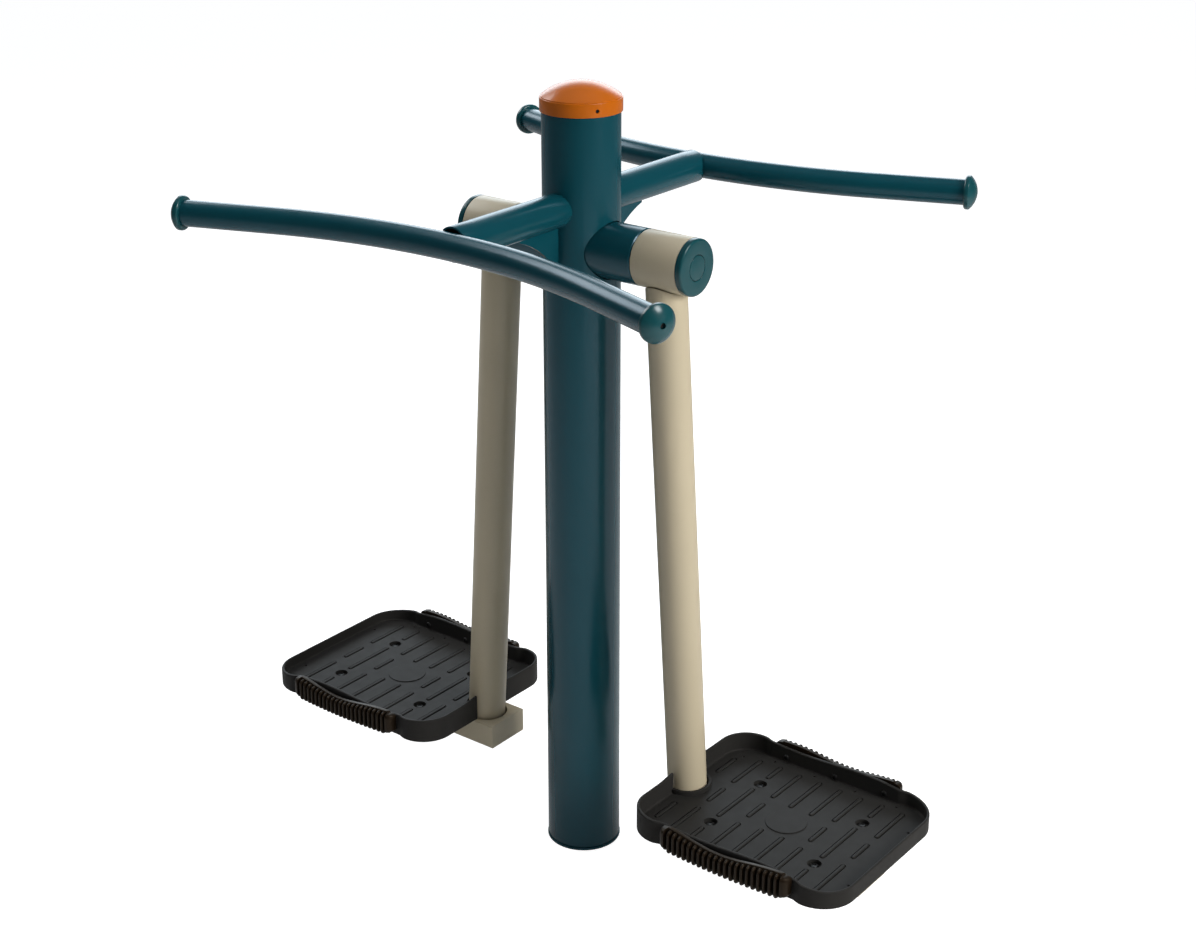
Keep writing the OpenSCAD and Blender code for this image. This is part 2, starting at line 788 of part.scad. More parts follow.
module tray_lugs(side) {
    color(BEIGE) on_side(side) difference() {
        for (column = bolt_columns, face = [FRONT, BACK]) on_face(face)
            translate([rib_x(column) - lug_len / 2, bar_w / 2, bar_top_z - plate_t])
                cube([lug_len, tray_bolt_y + lug_edge - bar_w / 2, plate_t]);
        tray_bolt_places() translate([0, 0, -plate_t - over])
            cylinder(d = tray_bolt_d + 2 * bolt_fit, h = plate_t + 2 * over);
    }
}

// Outline of the tray, moved in by dx at its ends and by dy along its sides
function tray_side(dx, dy) =
    let (x0 = tray_x0 + corner_in, x1 = tray_x1 - corner_out, y = tray_half - dy)
    concat(
        [for (i = [1:bend_n]) let (t = i / bend_n) [x0 + tray_bend * t, y - tray_waist * ease(t)]],
        [for (i = [0:bend_n - 1]) let (t = 1 - i / bend_n)
            [x1 - tray_bend * t, y - tray_waist * ease(t)]],
        arc(x1, tray_half - corner_out, corner_out - dx, corner_out - dy, 90, 0, arc_n)
    );
function tray_far(dx, dy) = concat(
    arc(tray_x0 + corner_in, tray_half - corner_in, corner_in - dx, corner_in - dy, 180, 90, arc_n),
    tray_side(dx, dy)
);
function tray_outline(dx, dy) =
    let (far = tray_far(dx, dy), n = len(far))
    concat(far, [for (i = [1:n]) [far[n - i][0], -far[n - i][1]]]);

module tray_slab(dx, dy, z0, z1) {
    translate([0, 0, z0]) linear_extrude(height = z1 - z0) polygon(tray_outline(dx, dy));
}

// Height of the rim above the floor, in shares of the tray's length
function rim_part(s0, h0, s1, h1) =
    [for (i = [0:rim_n]) let (t = i / rim_n)
        [tray_x0 + tray_len * (s0 + (s1 - s0) * t), h0 + (h1 - h0) * ease(t)]];

module above_rim() {
    top = 2 * rim_in_h;
    translate([0, 0, tray_floor_z]) rotate([90, 0, 0])
        linear_extrude(height = 2 * tray_w, center = true) polygon(concat(
            [[tray_x0 - over, top], [tray_x0 - over, rim_in_h]],
            rim_part(rim_in_share, rim_in_h, rim_dip_share, rim_dip_h),
            rim_part(rim_dip_share, rim_dip_h, rim_crest_share, rim_crest_h),
            rim_part(rim_crest_share, rim_crest_h, rim_out_share, rim_out_h),
            [[tray_x1 + over, rim_out_h], [tray_x1 + over, top]]
        ));
}

// One floor rib with round ends, from y0 to y1
module floor_rib(x, y0, y1) {
    translate([x, 0, tray_floor_z - over]) linear_extrude(height = rib_h + over) {
        translate([-rib_w / 2, y0 + rib_w / 2]) square([rib_w, y1 - y0 - rib_w]);
        for (y = [y0 + rib_w / 2, y1 - rib_w / 2]) translate([0, y]) circle(d = rib_w);
    }
}

module floor_ribs() {
    for (i = [0:len(column_shares) - 1]) {
        spans = column_shares[i] * tray_half;
        if (spans[0] > 0) floor_rib(rib_x(i), -spans[0], spans[0]);
        for (face = [FRONT, BACK]) on_face(face) floor_rib(rib_x(i), spans[1], spans[2]);
    }
}

module under_floor() {
    difference() {
        tray_slab(end_wall, side_wall, bar_top_z - over, tray_floor_z - floor_t);
        for (face = [FRONT, BACK]) on_face(face)
            translate([tray_x0, keel_y, bar_top_z - 2 * over])
                cube([tray_len, keel_w, floor_z + over]);
        tray_bolt_places() translate([0, 0, -2 * over])
            cylinder(r = recess_d / 2 + boss_wall, h = floor_z);
    }
}

module drain_places() {
    for (face = [FRONT, BACK]) on_face(face) {
        for (column = drain_columns) translate([rib_x(column), wall_in_y - drain_edge]) children();
        translate([tray_x1 - drain_end, tray_half * drain_end_y_share]) children();
        translate([tray_x0 + tray_len * drain_near_share, tray_half * drain_near_y_share])
            children();
    }
}

// Bolts that hold the bumpers, pointing outwards from the tray's inner walls
module wall_bolt_places(face) {
    for (step = [-1, 0, 1]) on_face(face)
        translate([bumper_x + step * bumper_bolt_x, wall_in_y,
                   tray_floor_z + wall_bolt_z - (step == 0 ? wall_bolt_drop : 0)])
            rotate([-90, 0, 0]) children();
}

module tray(side) {
    notch_x = arm_x(notch_z);
    color(BLACK) on_side(side) difference() {
        union() {
            difference() {
                tray_slab(0, 0, bar_top_z, tray_floor_z + 2 * rim_in_h);
                tray_slab(end_wall, side_wall, tray_floor_z, tray_floor_z + 3 * rim_in_h);
                above_rim();
            }
            floor_ribs();
            translate([tray_x0 + tray_len * pad_share, 0, tray_floor_z - over])
                cylinder(d = pad_d, h = pad_h + over);
            intersection() {
                translate([notch_x, 0, bar_top_z])
                    cylinder(r = notch_r + collar_wall, h = floor_z + collar_h);
                tray_slab(0, 0, bar_top_z, tray_floor_z + collar_h);
            }
        }
        under_floor();
        translate([notch_x, 0, bar_top_z - over]) cylinder(r = notch_r, h = tray_len);
        translate([tray_x0 - over, -notch_r, bar_top_z - over])
            cube([notch_x - tray_x0 + over, 2 * notch_r, tray_len]);
        tray_bolt_places() {
            translate([0, 0, recess_web]) cylinder(d = recess_d, h = floor_z);
            translate([0, 0, -over])
                cylinder(d = tray_bolt_d + 2 * bolt_fit, h = recess_web + 2 * over);
        }
        drain_places() cylinder(d = drain_d, h = tray_floor_z + over);
        for (face = [FRONT, BACK]) wall_bolt_places(face) translate([0, 0, -over])
            cylinder(d = wall_bolt_d + 2 * bolt_fit, h = side_wall + 2 * over);
    }
}

// A button head with a six-sided socket, sitting on z = 0, and its shank below
module button_screw(d, head_d, head_h, shank) {
    dome_r = (head_d * head_d / 4 + head_h * head_h) / (2 * head_h);
    difference() {
        union() {
            intersection() {
                translate([0, 0, head_h - dome_r]) sphere(r = dome_r);
                cylinder(d = head_d, h = head_h);
            }
            translate([0, 0, -shank]) cylinder(d = d, h = shank + head_h / 4);
        }
        translate([0, 0, head_h / 2]) cylinder(d = d * socket_share, h = head_h, $fn = 6);
    }
}

module tray_bolts(side) {
    color(STEEL) on_side(side) tray_bolt_places() translate([0, 0, recess_web])
        button_screw(tray_bolt_d, tray_bolt_head_d, tray_bolt_head_h,
                     recess_web + plate_t + tray_nut_h + tray_bolt_tail);
}

module tray_nuts(side) {
    color(STEEL) on_side(side) tray_bolt_places() translate([0, 0, -plate_t - tray_nut_h])
        difference() {
            cylinder(d = tray_nut_af / cos(30), h = tray_nut_h, $fn = 6);
            translate([0, 0, -over]) cylinder(d = tray_bolt_d, h = tray_nut_h + 2 * over);
        }
}

// Rubber bumper: a bowed backing with upright ribs and smooth round ends
module bumper_section() {
    difference() {
        translate([bumper_r, 0]) square([bumper_depth, bumper_h]);
        for (z = [0, bumper_h - bumper_round])
            translate([bumper_r + bumper_depth - bumper_round, z])
                square([bumper_round + over, bumper_round]);
    }
    for (z = [bumper_round, bumper_h - bumper_round])
        translate([bumper_r + bumper_depth - bumper_round, z])
            circle(r = bumper_round, $fn = 48);
}

module bumper(face, side) {
    half_angle = asin(bumper_len / 2 / bumper_r);
    slot_w = bumper_pitch * bumper_slot_share;
    end_y = bumper_back_y + bumper_depth + bumper_bow;
    color(RUBBER) on_side(side) on_face(face) difference() {
        union() {
            intersection() {
                translate([bumper_x, bumper_cy, bumper_z0]) rotate([0, 0, 90 - half_angle])
                    rotate_extrude(angle = 2 * half_angle, $fn = fine_n) bumper_section();
                translate([bumper_x, 0, bumper_z0]) linear_extrude(height = bumper_h) {
                    translate([-bumper_len / 2 + bumper_end_round, 0])
                        square([bumper_len - 2 * bumper_end_round, end_y]);
                    for (s = [-1, 1]) translate([s * (bumper_len / 2 - bumper_end_round), 0]) {
                        translate([-bumper_end_round, 0]) square([2 * bumper_end_round,
                            bumper_back_y + bumper_depth - bumper_end_round]);
                        translate([0, bumper_back_y + bumper_depth - bumper_end_round])
                            circle(r = bumper_end_round);
                    }
                }
            }
            translate([bumper_x, bumper_back_y, tray_floor_z + wall_bolt_z - wall_bolt_drop])
                rotate([-90, 0, 0]) cylinder(r = bumper_boss_r, h = bumper_bow + bumper_back / 2);
        }
        for (i = [0:bumper_ribs])
            translate([bumper_x + (i - bumper_ribs / 2) * bumper_pitch - slot_w / 2, 0, 0]) {
                x = (i - bumper_ribs / 2) * bumper_pitch;
                y = bumper_cy + sqrt(pow(bumper_r + bumper_back, 2) - x * x);
                translate([0, y, bumper_z0 - over]) cube([slot_w, end_y - y + over, 2 * bumper_h]);
            }
        translate([bumper_x, 0, bumper_z0 + bumper_h - bumper_dip + bumper_dip_r])
            rotate([-90, 0, 0]) cylinder(r = bumper_dip_r, h = end_y + over, $fn = fine_n);
        translate([0, bumper_back_y - wall_in_y, 0]) on_face(face) wall_bolt_places(face)
            cylinder(d = wall_bolt_d, h = bumper_bow + wall_bolt_bite);
    }
}

module bumper_bolts(side) {
    color(STEEL) on_side(side) for (face = [FRONT, BACK]) wall_bolt_places(face)
        rotate([180, 0, 0]) button_screw(wall_bolt_d, wall_bolt_head_d, wall_bolt_head_h,
                                         side_wall + bumper_gap + wall_bolt_bite);
}

post();
base_disc();
post_cap();
cap_screws();
crossarm(FRONT);  // crossarm_front
crossarm(BACK);  // crossarm_back
gussets();
handlebar(FRONT);  // handlebar_front
handlebar(BACK);  // handlebar_back
handle_cap(FRONT, LEFT);  // handle_cap_front_left
handle_cap(FRONT, RIGHT);  // handle_cap_front_right
handle_cap(BACK, LEFT);  // handle_cap_back_left
handle_cap(BACK, RIGHT);  // handle_cap_back_right
handle_cap_screws();
hub_tube();
hub_disc(LEFT);  // hub_disc_left
hub_disc(RIGHT);  // hub_disc_right
axle();
stop_pins();
bearing_inner_rings();
bearing_spacers();
axle_collars();
hub_cap(LEFT);  // hub_cap_left
hub_cap(RIGHT);  // hub_cap_right
hub_cap_screws();
hub_plug(LEFT);  // hub_plug_left
hub_plug(RIGHT);  // hub_plug_right
housing(LEFT);  // housing_left
housing(RIGHT);  // housing_right
stop_ring(LEFT);  // stop_ring_left
stop_ring(RIGHT);  // stop_ring_right
bearing_outer_rings(LEFT);  // bearing_outer_rings_left
bearing_outer_rings(RIGHT);  // bearing_outer_rings_right
bearing_balls(LEFT);  // bearing_balls_left
bearing_balls(RIGHT);  // bearing_balls_right
arm(LEFT);  // arm_left
arm(RIGHT);  // arm_right
support_bar(LEFT);  // support_bar_left
support_bar(RIGHT);  // support_bar_right
bar_end_plates(LEFT);  // bar_end_plates_left
bar_end_plates(RIGHT);  // bar_end_plates_right
tray_lugs(LEFT);  // tray_lugs_left
tray_lugs(RIGHT);  // tray_lugs_right
tray(LEFT);  // tray_left
tray(RIGHT);  // tray_right
tray_bolts(LEFT);  // tray_bolts_left
tray_bolts(RIGHT);  // tray_bolts_right
tray_nuts(LEFT);  // tray_nuts_left
tray_nuts(RIGHT);  // tray_nuts_right
bumper(FRONT, LEFT);  // bumper_front_left
bumper(FRONT, RIGHT);  // bumper_front_right
bumper(BACK, LEFT);  // bumper_back_left
bumper(BACK, RIGHT);  // bumper_back_right
bumper_bolts(LEFT);  // bumper_bolts_left
bumper_bolts(RIGHT);  // bumper_bolts_right
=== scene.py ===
# %% [markdown]
# # Side swing trainer
# A steel post with two bent handlebars, and two foot trays that hang on long arms and swing from
# side to side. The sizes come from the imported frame, whose nodes stay where they are. This lesson
# gives each part that shows its edges, curves and finish.

# %% Load the frame
import json
from math import acos, atan2, cos, pi, radians, sin, sqrt, tan

import bmesh
import bpy
import numpy as np
from mathutils import Matrix, Vector


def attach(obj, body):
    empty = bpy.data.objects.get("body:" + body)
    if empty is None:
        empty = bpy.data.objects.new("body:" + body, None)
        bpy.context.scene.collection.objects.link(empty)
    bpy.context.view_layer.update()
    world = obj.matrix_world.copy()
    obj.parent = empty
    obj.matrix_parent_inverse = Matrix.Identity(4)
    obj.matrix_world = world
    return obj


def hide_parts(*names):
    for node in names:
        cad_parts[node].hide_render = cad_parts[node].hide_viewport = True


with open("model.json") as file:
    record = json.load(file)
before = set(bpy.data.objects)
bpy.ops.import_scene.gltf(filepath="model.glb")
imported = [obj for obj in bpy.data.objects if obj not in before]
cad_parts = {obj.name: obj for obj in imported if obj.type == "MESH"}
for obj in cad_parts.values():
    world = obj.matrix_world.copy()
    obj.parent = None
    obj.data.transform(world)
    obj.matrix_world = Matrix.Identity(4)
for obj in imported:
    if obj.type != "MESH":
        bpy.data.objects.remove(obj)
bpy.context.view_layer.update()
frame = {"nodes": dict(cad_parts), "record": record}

# %% [markdown]
# The camera looks down from the front right. Its place was solved from the photograph's straight
# edges and circles, so every piece can be compared with it.

# %% Camera
CAMERA_AT = Vector((1.71476, -2.18984, 1.77321))
CAMERA_RIGHT = Vector((0.78819, 0.61542, -0.0037))
CAMERA_UP = Vector((-0.21493, 0.28089, 0.93536))
CAMERA_LENS = 59.952
CAMERA_SHIFT = (0.0131, -0.05001)

camera_data = bpy.data.cameras.new("camera")
camera_data.lens = CAMERA_LENS
camera_data.sensor_width = 36.0
camera_data.sensor_fit = "HORIZONTAL"
camera_data.shift_x, camera_data.shift_y = CAMERA_SHIFT
camera_data.clip_end = 60.0
camera = bpy.data.objects.new("camera", camera_data)
bpy.context.scene.collection.objects.link(camera)
camera_back = CAMERA_RIGHT.cross(CAMERA_UP).normalized()
turn = Matrix((CAMERA_RIGHT, CAMERA_UP, camera_back)).transposed()
camera.matrix_world = Matrix.Translation(CAMERA_AT) @ turn.to_4x4()
bpy.context.scene.camera = camera
print("camera at", [round(c, 2) for c in CAMERA_AT])

# %% [markdown]
# All sizes below are millimetres on the real object. They repeat the frame's own sizes: the post is
# a 114 mm tube, the arms are 60 mm, the crossarm 50 mm and the handlebars 38 mm tubes.

# %% Sizes
MM = 0.001
SIDES = {"right": 1, "left": -1}
FACES = {"front": -1, "back": 1}

POST_R = 57.0
POST_BORE = 53.0
POST_Z = (4.8, 1198.0)
CAP_R = 59.5
CAP_Z = (1181.0, 1201.0, 1223.0)
CAP_SCREW_Z = 1190.0
CAP_SCREW_TURN = -29.5

HUB_Z = 985.0
HUB_R = 41.5
HUB_REACH = 115.5
HOUSING_X = (116.5, 193.5)
BEARING_R = 31.0
HUB_CAP_X = (194.0, 204.0)

CROSS_Z = 1046.5
CROSS_R = 25.0
CROSS_BORE = 22.0
CROSS_REACH = 279.0
HANDLE_R = 19.0
HANDLE_BORE = 16.5
HANDLE_BEND = 835.0
HANDLE_CY = 1124.0
HANDLE_ANGLE = radians(20.0)
HANDLE_STRAIGHT = 132.0

ARM_R = 30.0
ARM_TOP_X = 149.0
ARM_SPLAY = radians(3.66)
BAR_X = (158.0, 528.0)
BAR_Z = (113.0, 153.0)
BAR_W = 80.0
BAR_GAP = 3.2

TRAY_X = (194.6, 556.2)
TRAY_HALF = 154.5
TRAY_WAIST = 4.0
TRAY_BEND = 18.0
CORNER_IN = 50.0
CORNER_OUT = 54.0
END_WALL = 4.0
SIDE_WALL = 5.5
FLOOR_Z = 162.5
FLOOR_T = 4.0
NOTCH_X = ARM_TOP_X + (HUB_Z - FLOOR_Z) * tan(ARM_SPLAY)
NOTCH_R = 33.0
BOLT_X = (291.0, 471.0)
BOLT_Y = 67.0

BUMPER_X = 375.4
BUMPER_Y = 150.8
BUMPER_Z = 153.3
BUMPER_LEN = 220.0
BUMPER_DEPTH = 15.5
BUMPER_H = 40.0
BUMPER_BOW = 4.5
BUMPER_DIP = 9.5
DIP_AT = 12.0
FINS = 21
FIN_PITCH = BUMPER_LEN / (FINS + 3)
print("post", 2 * POST_R, "hub", 2 * HUB_R, "tray floor at", FLOOR_Z)

# %% [markdown]
# Most parts are turned, drawn as tube or moulded, so their surfaces are rows of rings. These helpers
# round a section's corners, join rings into closed skins and cut one solid from another. Real edges
# are never knife-sharp, and their small rounds catch thin highlights.

# %% Shape helpers
def rounded(corners, steps):
    """Points of a closed section whose corners (u, v, radius) become arcs."""
    points = []
    for i, (u, v, radius) in enumerate(corners):
        here = np.array((u, v), float)
        if radius <= 0:
            points.append(tuple(here))
            continue
        before = np.array(corners[i - 1][:2], float) - here
        after = np.array(corners[(i + 1) % len(corners)][:2], float) - here
        before /= np.linalg.norm(before)
        after /= np.linalg.norm(after)
        half = acos(max(-1.0, min(1.0, float(before @ after)))) / 2
        middle = (before + after) / np.linalg.norm(before + after)
        centre = here + middle * radius / sin(half)
        start = here + before * radius / tan(half) - centre
        end = here + after * radius / tan(half) - centre
        sweep = pi - 2 * half
        for k in range(steps + 1):
            t = k / steps
            point = centre + start * sin((1 - t) * sweep) / sin(sweep)
            point = point + end * sin(t * sweep) / sin(sweep)
            points.append(tuple(point))
    return points


def loft(rings, loop=False):
    """A skin over rings with equal counts. A ring of one point closes it, and so does a loop."""
    verts = []
    faces = []
    rows = []
    for ring in rings:
        rows.append(list(range(len(verts), len(verts) + len(ring))))
        verts.extend(tuple(map(float, point)) for point in ring)
    pairs = list(zip(rows, rows[1:]))
    if loop:
        pairs.append((rows[-1], rows[0]))
    for a, b in pairs:
        count = max(len(a), len(b))
        for i in range(count):
            j = (i + 1) % count
            if len(a) == 1:
                faces.append((a[0], b[i], b[j]))
            elif len(b) == 1:
                faces.append((a[i], b[0], a[j]))
            else:
                faces.append((a[i], b[i], b[j], a[j]))
    if not loop:
        for row in (rows[0], rows[-1]):
            if len(row) > 2:
                faces.append(tuple(row))
    return verts, faces


class Axis:
    """A line in space, with points given by radius, angle and distance along it."""

    def __init__(self, origin, along):
        self.origin = np.array(origin, float)
        self.w = np.array(along, float) / np.linalg.norm(along)
        side = (0.0, 0.0, 1.0) if abs(self.w[2]) < 0.9 else (1.0, 0.0, 0.0)
        self.u = np.cross(side, self.w)
        self.u /= np.linalg.norm(self.u)
        self.v = np.cross(self.w, self.u)

    def at(self, radius, angle, height):
        """Points on the circle of that radius; angle and height may be arrays."""
        angle = np.atleast_1d(angle)
        height = np.broadcast_to(height, angle.shape)
        out = np.outer(np.cos(angle), self.u) + np.outer(np.sin(angle), self.v)
        return self.origin + out * np.reshape(radius, (-1, 1)) + np.outer(height, self.w)


def upright(x=0, y=0):
    return Axis((x, y, 0), (0, 0, 1))


def circle(count):
    return np.arange(count) * 2 * pi / count


def dome(radius, rise, top):
    """How high a spherical dome stands at any radius; it is rise high and ends at top."""
    ball = (radius ** 2 + rise ** 2) / (2 * rise)
    return lambda r: top - ball + sqrt(ball ** 2 - r ** 2)


def lathe(axis, section, count):
    """A section of (radius, distance) turned about an axis; it is closed at the axis or in itself."""
    angles = circle(count)
    solid = section[0][0] == 0 and section[-1][0] == 0
    rings = [axis.at(radius, angles if radius else 0.0, height) for radius, height in section]
    return loft(rings, loop=not solid)


def tube(axis, r_out, r_in, start, end, belts):
    """A hollow bar whose ends are functions of (angles, radius), so they can be cut as saddles."""
    lip = 0.7
    angles = circle(128)
    arc = [k * pi / 6 for k in range(4)]
    rings = []

    def corner(turns, wall, grow, end_at, back):
        """Rings round the edge of a wall and an end; grow and back are 1 or -1."""
        for phi in turns:
            radius = wall + grow * lip * (1 - cos(phi))
            lift = back * lip * (1 - sin(phi))
            rings.append(axis.at(radius, angles, end_at(angles, radius) + lift))

    corner(arc[::-1], r_out, -1, start, 1)
    for k in range(1, belts + 1):
        low = start(angles, r_out) + lip
        high = end(angles, r_out) - lip
        rings.append(axis.at(r_out, angles, low + (high - low) * k / (belts + 1)))
    corner(arc, r_out, -1, end, -1)
    corner(arc[::-1], r_in, 1, end, -1)
    corner(arc, r_in, 1, start, 1)
    return loft(rings, loop=True)


def meet(axis, low, high, outside):
    """An end function: where each line of a tube's wall crosses outside(points) = 0."""
    def height(angles, radius):
        a = np.full(angles.shape, float(low))
        b = np.full(angles.shape, float(high))
        a_out = outside(axis.at(radius, angles, a)) > 0
        for _ in range(30):
            middle = (a + b) / 2
            same = (outside(axis.at(radius, angles, middle)) > 0) == a_out
            a = np.where(same, middle, a)
            b = np.where(same, b, middle)
        return (a + b) / 2
    return height


def mirrored(part, side):
    verts, faces = part
    return [(x * side, y, z) for x, y, z in verts], faces


def put(name, data):
    """A new object in the scene."""
    thing = bpy.data.objects.new(name, data)
    bpy.context.scene.collection.objects.link(thing)
    return thing


def soften(piece, angle=32.0):
    """Smooth shading that stays crisp over corners sharper than the angle."""
    mesh = piece.data
    mesh.polygons.foreach_set("use_smooth", [True] * len(mesh.polygons))
    mesh.set_sharp_from_angle(angle=radians(angle))
    mesh.update()


def build(name, parts, angle=32.0):
    """One object from several closed skins, with every face turned outward."""
    body = bmesh.new()
    for verts, faces in parts:
        made = [body.verts.new(Vector(point) * MM) for point in verts]
        for face in faces:
            body.faces.new([made[i] for i in face])
    bmesh.ops.recalc_face_normals(body, faces=body.faces)
    mesh = bpy.data.meshes.new(name)
    body.to_mesh(mesh)
    body.free()
    piece = put(name, mesh)
    soften(piece, angle)
    return piece


def settle(piece):
    """Turns an object's modifiers into its plain mesh."""
    graph = bpy.context.evaluated_depsgraph_get()
    mesh = bpy.data.meshes.new_from_object(piece.evaluated_get(graph), depsgraph=graph)
    piece.modifiers.clear()
    old = piece.data
    piece.data = mesh
    bpy.data.meshes.remove(old)
    mesh.name = piece.name


def modify(piece, kind, **settings):
    """Changes the piece's own mesh by one modifier."""
    step = piece.modifiers.new(kind, kind)
    for name, setting in settings.items():
        setattr(step, name, setting)
    settle(piece)


def drop(piece):
    mesh = piece.data
    bpy.data.objects.remove(piece)
    bpy.data.meshes.remove(mesh)


def carve(piece, parts, operation="DIFFERENCE"):
    """Cuts the parts from the piece, or fuses them with it."""
    tool = build(piece.name + "_tool", parts)
    modify(piece, "BOOLEAN", operation=operation, solver="EXACT",
           use_self=operation == "UNION", object=tool)
    drop(tool)


def bevel(piece, width, angle):
    """Breaks the edges sharper than the angle by a small round."""
    modify(piece, "BEVEL", width=width * MM, segments=2, limit_method="ANGLE",
           angle_limit=radians(angle), use_clamp_overlap=True)


def level(piece, angle=32.0):
    """Lets large flat faces shade flat, so that only their rounded edges turn the light."""
    soften(piece, angle)
    modify(piece, "WEIGHTED_NORMAL", mode="FACE_AREA", weight=80, keep_sharp=True)


def box_part(x, y, z):
    """A plain box between two values on each axis, used as a cutter or a core."""
    ring = [(x[0], y[0]), (x[1], y[0]), (x[1], y[1]), (x[0], y[1])]
    return loft([[(u, v, h) for u, v in ring] for h in z])


def bar_part(axis, radius, low, high, count):
    angles = circle(count)
    return loft([axis.at(radius, angles, h) for h in (low, high)])


print("helpers ready")

# %% [markdown]
# Each finish is a node material made in object space, so its grain has a real size. The steel is
# powder coated: a baked paint with a fine orange peel and a soft gloss. The caps are glossy moulded
# plastic, the trays matt black plastic with a fine mould grain, and the bumpers dark rubber with a
# slight sheen. Slow noise shifts the colour and the gloss a little, as on every real coat.

# %% Materials
CLOUDS = (9.0, 4.0)
PATCHES = (55.0, 5.0)
GRAIN_DETAIL = 2.0
BUMP_STRENGTH = 0.2


def fill(tree, made, values):
    """Sets a node's inputs, or links them to sockets. A node stands for its first output."""
    for socket, value in values.items():
        if isinstance(value, bpy.types.Node):
            value = value.outputs[0]
        if isinstance(value, bpy.types.NodeSocket):
            tree.links.new(value, made.inputs[socket])
        else:
            made.inputs[socket].default_value = value


def node(tree, kind, values=None, **settings):
    """A new node with its settings made and its inputs filled."""
    made = tree.nodes.new(kind)
    for name, setting in settings.items():
        setattr(made, name, setting)
    fill(tree, made, values or {})
    return made


def coat(name, colour, shift, rough, grain_mm, grain_depth, gloss=0.5, metal=0.0,
         tint=(1.0, 1.0, 1.0)):
    """Colour shifts slowly, roughness in patches, and the bump has the coat's own grain."""
    material = bpy.data.materials.new(name)
    material.use_nodes = True
    tree = material.node_tree
    place = node(tree, "ShaderNodeTexCoord").outputs["Object"]

    def noise(scale, detail):
        values = {"Vector": place, "Scale": scale, "Detail": detail}
        return node(tree, "ShaderNodeTexNoise", values)

    ramp = node(tree, "ShaderNodeValToRGB", {"Fac": noise(*CLOUDS)})
    for end, position, share in ((0, 0.3, 1 - shift), (1, 0.7, 1 + shift)):
        ramp.color_ramp.elements[end].position = position
        ramp.color_ramp.elements[end].color = [c * share for c in colour] + [1.0]
    spread = node(tree, "ShaderNodeMapRange", {
        "Value": noise(*PATCHES), "From Min": 0.3, "From Max": 0.7, "To Min": rough[0],
        "To Max": rough[1]})
    bump = node(tree, "ShaderNodeBump", {
        "Height": noise(1000.0 / grain_mm, GRAIN_DETAIL), "Strength": BUMP_STRENGTH,
        "Distance": grain_depth * MM})
    fill(tree, tree.nodes["Principled BSDF"], {
        "Base Color": ramp, "Roughness": spread, "Normal": bump, "Metallic": metal,
        "IOR": 1.5, "Specular IOR Level": gloss, "Specular Tint": (*tint, 1)})
    return material


TEAL = coat("teal_powder_coat", (0.003, 0.056, 0.076), 0.03, (0.23, 0.26), 6.0, 0.004, 0.6,
            tint=(0.66, 0.84, 1.0))
TEAL_CAP = coat("teal_moulded", (0.006, 0.062, 0.074), 0.03, (0.22, 0.26), 2.0, 0.002)
BEIGE = coat("beige_powder_coat", (0.555, 0.484, 0.348), 0.02, (0.34, 0.38), 6.0, 0.006, 0.4)
ORANGE = coat("orange_moulded", (0.51, 0.118, 0.002), 0.03, (0.24, 0.27), 2.0, 0.002, 0.34)
BLACK = coat("black_moulded", (0.0265, 0.0258, 0.0248), 0.06, (0.46, 0.52), 1.2, 0.015, 0.08,
             tint=(1.0, 0.9, 0.84))
RUBBER = coat("black_rubber", (0.0135, 0.0088, 0.0052), 0.1, (0.36, 0.44), 0.9, 0.008, 0.25,
              tint=(1.0, 0.82, 0.66))
SCREW = coat("black_steel", (0.009, 0.009, 0.009), 0.08, (0.38, 0.46), 0.5, 0.004, 0.3)
STEEL = coat("zinc_steel", (0.42, 0.43, 0.44), 0.06, (0.28, 0.4), 0.5, 0.004, metal=1.0)
SLOTS = {
    "teal_paint": TEAL, "teal_cap": TEAL_CAP, "beige_paint": BEIGE, "orange_paint": ORANGE,
    "black_plastic": BLACK, "black_rubber": RUBBER, "bearing_steel": STEEL, "black_steel": SCREW,
}


def dress(piece, slot, body, *nodes):
    """Gives a piece its slot's material and its body, and hides the nodes it stands for."""
    mesh = piece.data
    mesh.materials.clear()
    mesh.materials.append(SLOTS[slot])
    mesh.polygons.foreach_set("material_index", [0] * len(mesh.polygons))
    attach(piece, body)
    if nodes:
        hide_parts(*nodes)


for row in frame["record"]["subparts"]:
    held = frame["nodes"][row["node"]].data.materials
    if not held:
        held.append(None)
    for i in range(len(held)):
        held[i] = SLOTS[row["material_slot"]]

# %% [markdown]
# The post is one straight steel tube. Its lower edge is deburred, and a round hole on each side lets
# the hub tube pass through, with a fine line left where the two meet. It stands a hair above the
# base disc, a turned plate with a raised middle that holds the tube and four tapped holes below.

# %% Post and base
UP = upright()
HUB = Axis((0, 0, HUB_Z), (1, 0, 0))
SEAM = 1.4
BASE_R = 58.0
BASE_T = 4.0
BASE_PLUG_R = 52.9
BASE_PLUG_Z = 14.0
BASE_BOLTS_R = 35.0
BASE_HOLE_R = 5.1

post = build("post_tube", [lathe(UP, rounded([
    (POST_R, POST_Z[0], 1.0), (POST_R, POST_Z[1], 0.8),
    (POST_BORE, POST_Z[1], 0.5), (POST_BORE, POST_Z[0], 0.5)], 4), 256)])
carve(post, [bar_part(HUB, HUB_R + SEAM, -80, 80, 160)])
soften(post)
dress(post, "teal_paint", "frame", "post")

